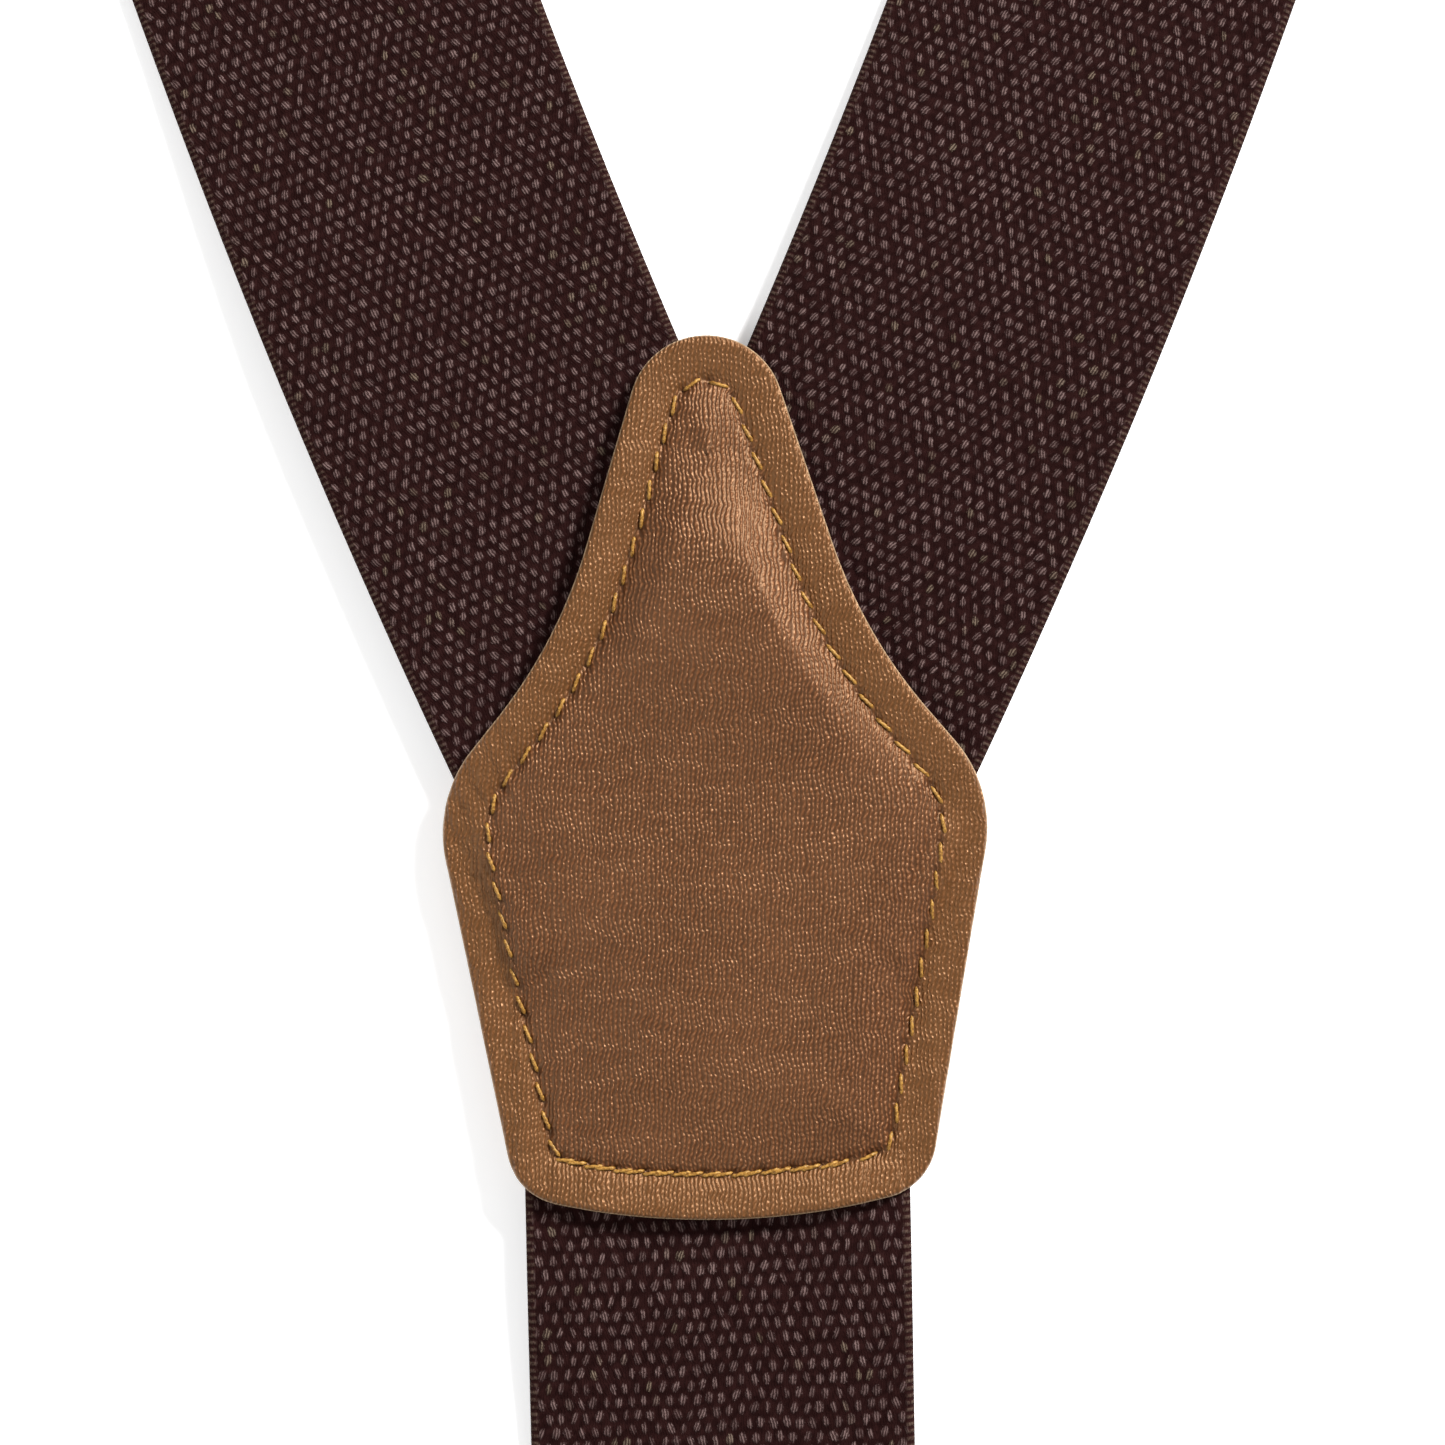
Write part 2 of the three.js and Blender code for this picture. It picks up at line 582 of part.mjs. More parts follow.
const patchFrame = new THREE.Group();
patchFrame.rotation.z = THREE.MathUtils.degToRad(PATCH_TILT);
suspenders.add(patchFrame);
addPatch(patchFrame);

const backEnd = new THREE.Group();
backEnd.rotation.z = Math.PI;
backEnd.position.x = BACK_STRAP_SHIFT;
patchFrame.add(backEnd);
addBackStrap(backEnd);
addClip(backEnd, "back", BACK_CLIP_AT);

for (const [prefix, side, patchLayer] of [["left", -1, PATCH_LAYER_ONE], ["right", 1, PATCH_LAYER_TWO]]) {
  addShoulderStrap(suspenders, side, `${prefix}_shoulder_strap`, patchLayer);
  const frontEnd = new THREE.Group();
  frontEnd.position.x = side * LANE_OFFSET;
  suspenders.add(frontEnd);
  addStrapLoop(frontEnd, `${prefix}_strap_loop`);
  addStrapReturn(frontEnd, `${prefix}_strap_return`);
  addAdjuster(frontEnd, prefix);
  addClip(frontEnd, prefix, FRONT_CLIP_AT);
}

export default suspenders;
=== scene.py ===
"""Y-back suspenders laid flat: webbing, a stitched leather patch, clamp adjusters and toothed clips.

Every piece is built in metres in the frame of the CAD model, whose +Y runs from the patch to the front
clips and whose +Z points up from the surface that the suspenders lie on.
"""

import json
import logging
import math
from dataclasses import dataclass, field
from enum import Enum

import bmesh
import bpy
import numpy as np
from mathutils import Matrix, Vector, noise

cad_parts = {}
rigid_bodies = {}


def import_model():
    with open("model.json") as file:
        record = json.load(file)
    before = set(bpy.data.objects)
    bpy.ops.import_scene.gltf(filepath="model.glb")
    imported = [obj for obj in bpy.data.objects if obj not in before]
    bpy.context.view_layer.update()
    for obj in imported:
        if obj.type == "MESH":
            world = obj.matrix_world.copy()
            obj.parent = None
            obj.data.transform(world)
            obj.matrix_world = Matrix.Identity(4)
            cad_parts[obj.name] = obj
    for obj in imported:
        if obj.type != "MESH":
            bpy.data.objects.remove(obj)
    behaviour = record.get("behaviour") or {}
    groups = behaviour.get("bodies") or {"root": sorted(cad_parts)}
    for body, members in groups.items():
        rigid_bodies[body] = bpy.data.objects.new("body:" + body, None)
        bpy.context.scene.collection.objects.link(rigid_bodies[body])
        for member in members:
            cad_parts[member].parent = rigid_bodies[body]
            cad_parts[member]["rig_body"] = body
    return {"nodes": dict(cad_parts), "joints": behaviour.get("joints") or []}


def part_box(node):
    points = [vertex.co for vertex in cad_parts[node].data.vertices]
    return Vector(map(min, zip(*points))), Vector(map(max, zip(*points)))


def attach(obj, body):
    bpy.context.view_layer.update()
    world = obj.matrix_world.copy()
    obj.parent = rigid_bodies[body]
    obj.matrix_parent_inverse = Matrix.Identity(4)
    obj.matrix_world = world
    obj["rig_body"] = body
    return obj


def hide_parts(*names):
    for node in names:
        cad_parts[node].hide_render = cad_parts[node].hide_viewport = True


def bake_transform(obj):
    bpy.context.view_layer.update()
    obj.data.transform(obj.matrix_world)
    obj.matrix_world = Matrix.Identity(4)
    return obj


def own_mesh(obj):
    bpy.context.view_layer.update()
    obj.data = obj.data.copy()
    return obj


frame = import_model()

MM = 0.001
MERGE_DISTANCE = 1e-7
LOG = logging.getLogger("suspenders")
Colour = tuple[float, float, float, float]
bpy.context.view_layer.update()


# ------------------------------------------------------------------ small helpers


class Slot(Enum):
    """Names of the record's material slots; no piece in this script takes its finish from them."""

    WEBBING = "webbing"
    LEATHER = "leather"
    LINING = "lining"
    THREAD = "thread"
    NICKEL = "nickel"
    GRIP = "grip_teeth"


def smoothstep(value: np.ndarray, low: float, high: float) -> np.ndarray:
    """Rises smoothly from 0 at low to 1 at high.

    Args:
        value: Where to evaluate the step.
        low: Value at which the step starts.
        high: Value at which the step ends.

    Returns:
        The step's height at each value.
    """
    t = np.clip((value - low) / (high - low), 0.0, 1.0)
    return t * t * (3.0 - 2.0 * t)


def joint(name: str) -> dict[str, object]:
    """Returns what the CAD model says of a joint."""
    return next(found for found in frame["joints"] if found["name"] == name)


def joint_place(name: str) -> Vector:
    """Returns the point that a hinge of the CAD model turns about."""
    return Vector(joint(name)["pos_m"])


def box_middle(node: str) -> Vector:
    """Returns the middle of a CAD node's box."""
    low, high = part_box(node)
    return (low + high) / 2


def waviness(x: np.ndarray, y: np.ndarray, seed: float) -> np.ndarray:
    """Samples soft noise at many points.

    Args:
        x: First coordinates, in noise cells.
        y: Second coordinates, in noise cells.
        seed: Third coordinate, which picks the pattern.

    Returns:
        Noise from about -1 to 1 at each point.
    """
    flat = [noise.noise(Vector((a, b, seed))) for a, b in zip(x.ravel(), y.ravel())]
    return np.array(flat).reshape(x.shape)


def read_along(table: np.ndarray, length: np.ndarray, at: np.ndarray) -> np.ndarray:
    """Reads a table of rows at distances along them.

    Args:
        table: Values, one row to each known distance.
        length: The known distances, in rising order.
        at: Distances to read at.

    Returns:
        Values between the rows, one row to each distance that is read.
    """
    return np.stack([np.interp(at, length, column) for column in table.T], axis=1)


def finished(
    name: str, shape: bmesh.types.BMesh, material: bpy.types.Material
) -> bpy.types.Object:
    """Turns a finished shape into a scene object with its material.

    Args:
        name: Name of the new piece.
        shape: The shape, which is freed.
        material: Material of every face.

    Returns:
        The new object, at the origin.
    """
    mesh = bpy.data.meshes.new(name)
    shape.to_mesh(mesh)
    shape.free()
    mesh.materials.append(material)
    piece = bpy.data.objects.new(name, mesh)
    bpy.context.scene.collection.objects.link(piece)
    return piece


def wrapped_grid(
    columns: int,
    points: np.ndarray,
    layers: dict[str, np.ndarray] | None = None,
) -> bmesh.types.BMesh:
    """Bends a grid into a closed tube-like skin whose first and last columns meet.

    Args:
        columns: Number of faces around the skin.
        points: Places of the grid's vertices, as rows x (columns + 1) x 3.
        layers: Vector attributes by name, each shaped like points.

    Returns:
        The skin with its seam merged, open at its first and last rows unless they close by themselves.
    """
    rows = points.shape[0] - 1
    shape = bmesh.new()
    bmesh.ops.create_grid(shape, x_segments=columns, y_segments=rows, size=0.5)
    made = {name: shape.verts.layers.float_vector.new(name) for name in layers or {}}
    for vert in shape.verts:
        column = round((vert.co.x + 0.5) * columns)
        row = round((vert.co.y + 0.5) * rows)
        vert.co = Vector(points[row, column])
        for name, layer in made.items():
            vert[layer] = Vector(layers[name][row, column])
    bmesh.ops.remove_doubles(shape, verts=shape.verts, dist=MERGE_DISTANCE)
    return shape


def close_up(shape: bmesh.types.BMesh) -> None:
    """Clears a skin's slivers, points its faces outwards and shades them smooth.

    Args:
        shape: The skin, which is changed.
    """
    bmesh.ops.dissolve_degenerate(shape, edges=shape.edges, dist=MERGE_DISTANCE)
    bmesh.ops.recalc_face_normals(shape, faces=shape.faces)
    for face in shape.faces:
        face.smooth = True


# ------------------------------------------------------------------ node materials


class Shader:
    """A material's node tree, with short calls for the nodes that the finishes share."""

    def __init__(self, name: str) -> None:
        """Starts a material with one principled surface.

        Args:
            name: Name of the material.
        """
        self.material = bpy.data.materials.new(name)
        self.material.use_nodes = True
        self.tree = self.material.node_tree
        self.tree.nodes.clear()
        self.surface = self.add("ShaderNodeBsdfPrincipled")
        output = self.add("ShaderNodeOutputMaterial")
        self.tree.links.new(self.surface.outputs["BSDF"], output.inputs["Surface"])

    def add(self, kind: str) -> bpy.types.Node:
        """Adds a node of a kind and returns it."""
        return self.tree.nodes.new(kind)

    def feed(self, socket: bpy.types.NodeSocket, value: object) -> None:
        """Links a socket to another socket, or sets it to a plain value.

        Args:
            socket: The socket to feed.
            value: A socket, a plain value, or None to leave the socket as it is.
        """
        if isinstance(value, bpy.types.NodeSocket):
            self.tree.links.new(value, socket)
        elif value is not None:
            socket.default_value = value

    def set(self, **values: object) -> None:
        """Sets or links the surface's sockets.

        Args:
            **values: Values or sockets by socket name, in lower case with underscores.
        """
        for name, value in values.items():
            words = name.replace("_", " ").lower()
            socket = next(s for s in self.surface.inputs if s.name.lower() == words)
            self.feed(socket, value)

    def math(self, operation: str, a: object, b: object = None, c: object = None) -> bpy.types.NodeSocket:
        """Adds a math node.

        Args:
            operation: Name of the operation.
            a: First value or socket.
            b: Second value or socket.
            c: Third value or socket.

        Returns:
            The result's socket.
        """
        node = self.add("ShaderNodeMath")
        node.operation = operation
        for socket, value in zip(node.inputs, (a, b, c)):
            self.feed(socket, value)
        return node.outputs[0]

    def times(self, a: object, b: object) -> bpy.types.NodeSocket:
        """Gives a times b."""
        return self.math("MULTIPLY", a, b)

    def times_plus(self, a: object, b: object, c: object) -> bpy.types.NodeSocket:
        """Gives a times b, plus c."""
        return self.math("MULTIPLY_ADD", a, b, c)

    def less(self, a: object, b: object) -> bpy.types.NodeSocket:
        """Gives a less b."""
        return self.math("SUBTRACT", a, b)

    def remap(
        self, value: object, low: float, high: float, start: float = 0.0, end: float = 1.0
    ) -> bpy.types.NodeSocket:
        """Maps a value smoothly from one range to another.

        Args:
            value: The value's socket.
            low: Input that gives start.
            high: Input that gives end.
            start: Output at low.
            end: Output at high.

        Returns:
            The mapped value's socket.
        """
        node = self.add("ShaderNodeMapRange")
        node.interpolation_type = "SMOOTHSTEP"
        for name, number in (
            ("Value", value),
            ("From Min", low),
            ("From Max", high),
            ("To Min", start),
            ("To Max", end),
        ):
            self.feed(node.inputs[name], number)
        return node.outputs["Result"]

    def mix(self, factor: object, a: object, b: object) -> bpy.types.NodeSocket:
        """Mixes two colours.

        Args:
            factor: Share of the second colour.
            a: First colour.
            b: Second colour.

        Returns:
            The mixed colour's socket.
        """
        node = self.add("ShaderNodeMix")
        node.data_type = "RGBA"
        self.feed(node.inputs[0], factor)
        self.feed(node.inputs[6], a)
        self.feed(node.inputs[7], b)
        return node.outputs[2]

    def noise(
        self, vector: object, scale: float, detail: float = 2.0, distortion: float = 0.0
    ) -> bpy.types.NodeSocket:
        """Adds a noise texture.

        Args:
            vector: Socket of its coordinates.
            scale: Cells per unit of the coordinates.
            detail: Number of finer layers.
            distortion: How much the pattern swirls.

        Returns:
            The noise's value socket.
        """
        node = self.add("ShaderNodeTexNoise")
        self.feed(node.inputs["Vector"], vector)
        node.inputs["Scale"].default_value = scale
        node.inputs["Detail"].default_value = detail
        node.inputs["Distortion"].default_value = distortion
        return node.outputs[0]

    def combine(self, x: object, y: object, z: object = 0.0) -> bpy.types.NodeSocket:
        """Joins three values into a vector.

        Args:
            x: First value or socket.
            y: Second value or socket.
            z: Third value or socket.

        Returns:
            The vector's socket.
        """
        node = self.add("ShaderNodeCombineXYZ")
        for socket, value in zip(node.inputs, (x, y, z)):
            self.feed(socket, value)
        return node.outputs[0]

    def split(self, vector: object) -> tuple[bpy.types.NodeSocket, ...]:
        """Splits a vector into its three values.

        Args:
            vector: The vector's socket.

        Returns:
            The sockets of its three values.
        """
        node = self.add("ShaderNodeSeparateXYZ")
        self.feed(node.inputs[0], vector)
        return tuple(node.outputs)

    def random(self, vector: object) -> tuple[bpy.types.NodeSocket, ...]:
        """Gives three even random values for each place in a vector field.

        Args:
            vector: The vector's socket.

        Returns:
            The sockets of the three values.
        """
        node = self.add("ShaderNodeTexWhiteNoise")
        self.feed(node.inputs["Vector"], vector)
        return self.split(node.outputs["Color"])

    def attribute(self, name: str) -> bpy.types.NodeSocket:
        """Reads a vector attribute of the piece.

        Args:
            name: Name of the attribute.

        Returns:
            The attribute's vector socket.
        """
        node = self.add("ShaderNodeAttribute")
        node.attribute_name = name
        return node.outputs["Vector"]

    def place(
        self, stretch: tuple[float, float, float] = (1000.0, 1000.0, 1000.0), turn: float = 0.0
    ) -> bpy.types.NodeSocket:
        """Reads the place on the piece, stretched and turned about Z.

        Args:
            stretch: Factor on each coordinate, 1000 to read millimetres.
            turn: Angle in radians.

        Returns:
            The socket of the mapped place, in the piece's own frame.
        """
        coordinates = self.add("ShaderNodeTexCoord")
        mapping = self.add("ShaderNodeMapping")
        self.feed(mapping.inputs["Vector"], coordinates.outputs["Object"])
        mapping.inputs["Rotation"].default_value = (0.0, 0.0, turn)
        mapping.inputs["Scale"].default_value = stretch
        return mapping.outputs[0]

    def bump(self, height: object, distance: float, strength: float = 1.0) -> bpy.types.NodeSocket:
        """Turns a height field into a bumped normal.

        Args:
            height: Height's socket, from 0 to 1.
            distance: Depth of the relief in metres.
            strength: Share of the full effect.

        Returns:
            The normal's socket.
        """
        node = self.add("ShaderNodeBump")
        node.inputs["Strength"].default_value = strength
        node.inputs["Distance"].default_value = distance
        self.feed(node.inputs["Height"], height)
        return node.outputs[0]


@dataclass(frozen=True)
class WebbingFinish:
    """Coarse elastic webbing whose warp yarns show as pale fuzzy ovals over a dark ground."""

    ground: Colour = (0.0095, 0.0029, 0.0027, 1.0)
    ground_lift: Colour = (0.0165, 0.0054, 0.0050, 1.0)
    yarn: Colour = (0.138, 0.091, 0.085, 1.0)
    yarn_warm: Colour = (0.138, 0.102, 0.074, 1.0)
    selvedge: Colour = (0.085, 0.056, 0.042, 1.0)
    half_width: float = 0.28
    half_length: float = 0.38
    strands: float = 4.4
    selvedge_width: float = 0.9
    lean_spread: float = 0.6
    fray_share: float = 2.6
    lint_share: float = 0.22
    relief: float = 0.16 * MM

    def material(self) -> bpy.types.Material:
        """Builds the finish on the piece's weave attribute.

        Returns:
            The material.
        """
        sheet = Shader("webbing_weave")
        across, along, edge = sheet.split(sheet.attribute("weave"))
        row = sheet.math("FLOOR", along)
        along_cell = sheet.less(sheet.less(along, row), 0.5)
        shift = sheet.times(sheet.math("FLOORED_MODULO", row, 2.0), 0.5)
        shifted = sheet.math("ADD", across, shift)
        column = sheet.math("FLOOR", shifted)
        across_cell = sheet.less(sheet.less(shifted, column), 0.5)
        first, second, third = sheet.random(sheet.combine(column, row, 3.7))
        fourth, fifth, sixth = sheet.random(sheet.combine(column, row, 11.3))
        lean = sheet.times(sheet.less(first, 0.5), self.lean_spread)
        across_in = sheet.times_plus(sheet.less(second, 0.5), 0.20, across_cell)
        across_in = sheet.times_plus(along_cell, lean, across_in)
        along_in = sheet.times_plus(sheet.less(third, 0.5), 0.16, along_cell)
        flat = sheet.combine(across, along, 0.0)
        fray = sheet.noise(sheet.combine(across, sheet.times(along, 0.6), 0.0), 5.5, 2.0, 0.9)
        width = sheet.times_plus(fifth, 0.14, self.half_width - 0.08)
        x = sheet.math("DIVIDE", across_in, width)
        y = sheet.math("DIVIDE", along_in, self.half_length)
        squared = sheet.math("ADD", sheet.times(x, x), sheet.times(y, y))
        squared = sheet.times_plus(sheet.less(fray, 0.5), self.fray_share, squared)
        oval = sheet.remap(squared, 1.45, 0.15)
        stroke = sheet.times_plus(second, 2 * math.pi, sheet.times(fray, 7.0))
        stroke = sheet.times_plus(across_in, self.strands * 2 * math.pi, stroke)
        stroke = sheet.times_plus(sheet.times(lean, along_in), 14.0, stroke)
        fibre = sheet.remap(sheet.math("SINE", stroke), -0.55, 0.85)
        strength = sheet.times_plus(sixth, 0.55, 0.45)
        pale = sheet.times(oval, sheet.times_plus(fibre, 0.85, 0.15))
        pale = sheet.times(pale, strength)
        specks = sheet.noise(sheet.combine(across, sheet.times(along, 0.5), 7.0), 9.0, 2.0)
        lint = sheet.times(sheet.remap(specks, 0.68, 0.82), self.lint_share)
        pale = sheet.math("MAXIMUM", pale, lint)
        patches = sheet.remap(sheet.noise(flat, 1.3, 4.0, 0.4), 0.35, 0.7)
        ground = sheet.mix(patches, self.ground, self.ground_lift)
        yarn = sheet.mix(sheet.remap(fourth, 0.90, 0.99), self.yarn, self.yarn_warm)
        woven = sheet.mix(pale, ground, yarn)
        rib = sheet.math("SINE", sheet.times(along, 4.0 * math.pi))
        rib_shade = sheet.times(sheet.remap(rib, -0.6, 0.9), sheet.remap(fray, 0.3, 0.65))
        hem_colour = sheet.mix(sheet.times(rib_shade, 0.75), self.ground_lift, self.selvedge)
        hem = sheet.remap(edge, self.selvedge_width, 0.55 * self.selvedge_width)
        colour = sheet.mix(hem, woven, hem_colour)
        relief = sheet.times_plus(fibre, 0.35, sheet.times(oval, 0.65))
        relief = sheet.times_plus(sheet.times(hem, rib), 0.4, relief)
        sheet.set(
            base_color=colour,
            roughness=0.85,
            specular_ior_level=0.02,
            normal=sheet.bump(relief, self.relief, 0.7),
        )
        return sheet.material


@dataclass(frozen=True)
class LeatherFinish:
    """Fine embossed grain in wavering upright chains, with painted light in its colour: painted shade in the
    grain's creases, painted highlight on its tips, a painted highlight that makes the stitched-down margin
    warmer and lighter, and a cut edge that is pale in itself and golden from a painted rim highlight.
    """

    name: str = "patch_leather"
    # crease_shade and tip_highlight are painted shade in the grain's creases and painted highlight on its
    # tips.
    crease_shade: Colour = (0.021, 0.0052, 0.0012, 1.0)
    base: Colour = (0.076, 0.0228, 0.0060, 1.0)
    tip_highlight: Colour = (0.172, 0.0715, 0.0310, 1.0)
    # Painted highlight: a lighter, warmer tone on the stitched-down margin, where the raised rim catches the
    # light.
    margin_highlight: Colour = (0.104, 0.0415, 0.0075, 1.0)
    # Cut edge colour: the pale fibrous edge itself, made golden by a painted rim highlight.
    cut_edge_and_rim_highlight: Colour = (0.250, 0.170, 0.100, 1.0)
    gloss: Colour = (1.0, 0.58, 0.32, 1.0)
    chain_pitch: float = 0.40
    grain_pitch: float = 0.52
    slow_wander: float = 2.9
    quick_wander: float = 1.15
    grain_wander: float = 1.3
    stagger: float = 0.90
    fine_share: float = 0.35
    margin_highlight_share: float = 0.34
    shade_share: float = 0.92
    relief: float = 0.098 * MM

    def material(self) -> bpy.types.Material:
        """Builds the finish on object place and the patch's depth attribute.

        Returns:
            The material.
        """
        sheet = Shader(self.name)
        place = sheet.place()
        x, y, _ = sheet.split(place)
        slow = sheet.noise(sheet.place((330.0, 900.0, 1000.0)), 0.42, 2.0)
        quick = sheet.noise(sheet.place((1750.0, 1000.0, 1000.0)), 0.90, 2.0)
        chain = sheet.times(x, 1.0 / self.chain_pitch)
        chain = sheet.times_plus(sheet.less(slow, 0.5), self.slow_wander, chain)
        chain = sheet.times_plus(sheet.less(quick, 0.5), self.quick_wander, chain)
        ridge = sheet.times_plus(sheet.math("COSINE", sheet.times(chain, 2 * math.pi)), 0.5, 0.5)
        number = sheet.math("FLOOR", sheet.math("ADD", chain, 0.5))
        offset, _, _ = sheet.random(sheet.combine(number, 0.0, 2.0))
        link = sheet.times_plus(y, 1.0 / self.grain_pitch, sheet.times(number, 0.5))
        link = sheet.times_plus(sheet.less(quick, 0.5), self.grain_wander, link)
        link = sheet.times_plus(offset, self.stagger, link)
        bead = sheet.times_plus(sheet.math("COSINE", sheet.times(link, 2 * math.pi)), 0.5, 0.5)
        link_number = sheet.math("FLOOR", sheet.math("ADD", link, 0.5))
        _, each, _ = sheet.random(sheet.combine(number, link_number, 5.0))
        lift = sheet.times_plus(bead, 0.54, 0.46)
        grain = sheet.math("POWER", sheet.times(ridge, lift), 1.25)
        grain = sheet.times(grain, sheet.times_plus(each, 0.5, 0.68))
        fine = sheet.noise(place, 3.2, 3.0, 0.2)
        grain = sheet.times_plus(sheet.less(fine, 0.5), self.fine_share, grain)
        cloud = sheet.noise(place, 0.13, 3.0, 0.2)
        depth, shade, _ = sheet.split(sheet.attribute("depth"))
        # Painted shade in the grain's creases and painted highlight on its tips, by the grain's height.
        dark = sheet.mix(sheet.remap(grain, 0.02, 0.42), self.crease_shade, self.base)
        colour = sheet.mix(sheet.remap(grain, 0.42, 1.05), dark, self.tip_highlight)
        colour = sheet.mix(sheet.remap(cloud, 0.35, 0.75, 0.0, 0.10), colour, self.tip_highlight)
        # Painted highlight on the stitched-down margin, by distance from the edge.
        margin = sheet.times(sheet.remap(depth, 4.3, 3.5), self.margin_highlight_share)
        colour = sheet.mix(margin, colour, self.margin_highlight)
        colour = sheet.mix(sheet.times(shade, self.shade_share), colour, self.crease_shade)
        # The cut edge's own pale colour with a painted rim highlight, on the last fraction of a millimetre.
        rim = sheet.remap(depth, 0.16, 0.03)
        colour = sheet.mix(rim, colour, self.cut_edge_and_rim_highlight)
        sheet.set(
            base_color=colour,
            roughness=sheet.remap(grain, 0.1, 0.9, 0.48, 0.40),
            specular_ior_level=0.85,
            specular_tint=self.gloss,
            normal=sheet.bump(grain, self.relief),
        )
        return sheet.material


@dataclass(frozen=True)
class ThreadFinish:
    """Golden brown twisted thread with paler strands."""

    dark: Colour = (0.135, 0.055, 0.008, 1.0)
    light: Colour = (0.350, 0.180, 0.038, 1.0)

    def material(self) -> bpy.types.Material:
        """Builds the finish.

        Returns:
            The material.
        """
        sheet = Shader("seam_thread")
        place = sheet.place()
        strands = sheet.noise(place, 5.0, 3.0, 0.8)
        sheet.set(
            base_color=sheet.mix(sheet.remap(strands, 0.35, 0.65), self.dark, self.light),
            roughness=0.42,
            specular_ior_level=0.45,
            specular_tint=(1.0, 0.85, 0.5, 1.0),
            normal=sheet.bump(strands, 0.05 * MM, 0.6),
        )
        return sheet.material


@dataclass(frozen=True)
class NickelFinish:
    """Satin nickel plate with a fine lengthwise brushing and faint handling marks."""

    bright: Colour = (0.57, 0.55, 0.52, 1.0)
    dull: Colour = (0.40, 0.38, 0.355, 1.0)

    def material(self) -> bpy.types.Material:
        """Builds the finish.

        Returns:
            The material.
        """
        sheet = Shader("satin_nickel")
        brushed = sheet.noise(sheet.place((6500.0, 180.0, 2600.0)), 1.0, 3.0)
        marks = sheet.noise(sheet.place(), 0.16, 5.0, 0.6)
        scratches = sheet.noise(sheet.place((260.0, 4200.0, 1000.0), 0.5), 1.0, 2.0)
        handled = sheet.remap(marks, 0.3, 0.75, 0.0, 0.5)
        tone = sheet.times_plus(sheet.remap(brushed, 0.35, 0.65), 0.5, handled)
        sheet.set(
            base_color=sheet.mix(tone, self.bright, self.dull),
            metallic=1.0,
            roughness=sheet.times_plus(tone, 0.16, 0.30),
            normal=sheet.bump(
                sheet.times_plus(sheet.remap(scratches, 0.64, 0.74), 0.8, brushed), 0.035 * MM, 0.8
            ),
        )
        return sheet.material


@dataclass(frozen=True)
class GripFinish:
    """Dark moulded plastic with a fine spark-eroded texture."""

    colour: Colour = (0.022, 0.016, 0.014, 1.0)
    worn: Colour = (0.050, 0.038, 0.032, 1.0)

    def material(self) -> bpy.types.Material:
        """Builds the finish.

        Returns:
            The material.
        """
        sheet = Shader("moulded_grip")
        texture = sheet.noise(sheet.place(), 4.5, 3.0)
        wear = sheet.noise(sheet.place(), 0.4, 3.0)
        sheet.set(
            base_color=sheet.mix(sheet.remap(wear, 0.45, 0.75), self.colour, self.worn),
            roughness=sheet.remap(texture, 0.3, 0.7, 0.42, 0.62),
            normal=sheet.bump(texture, 0.03 * MM, 0.6),
        )
        return sheet.material


@dataclass(frozen=True)
class FloorFinish:
    """Plain pale floor."""

    colour: Colour = (0.93, 0.93, 0.93, 1.0)
    glow: float = 0.28

    def material(self) -> bpy.types.Material:
        """Builds the finish.

        Returns:
            The material.
        """
        sheet = Shader("pale_floor")
        sheet.set(
            base_color=self.colour,
            roughness=0.9,
            specular_ior_level=0.1,
            emission_color=(1.0, 1.0, 1.0, 1.0),
            emission_strength=self.glow,
        )
        return sheet.material


# ------------------------------------------------------------------ patch


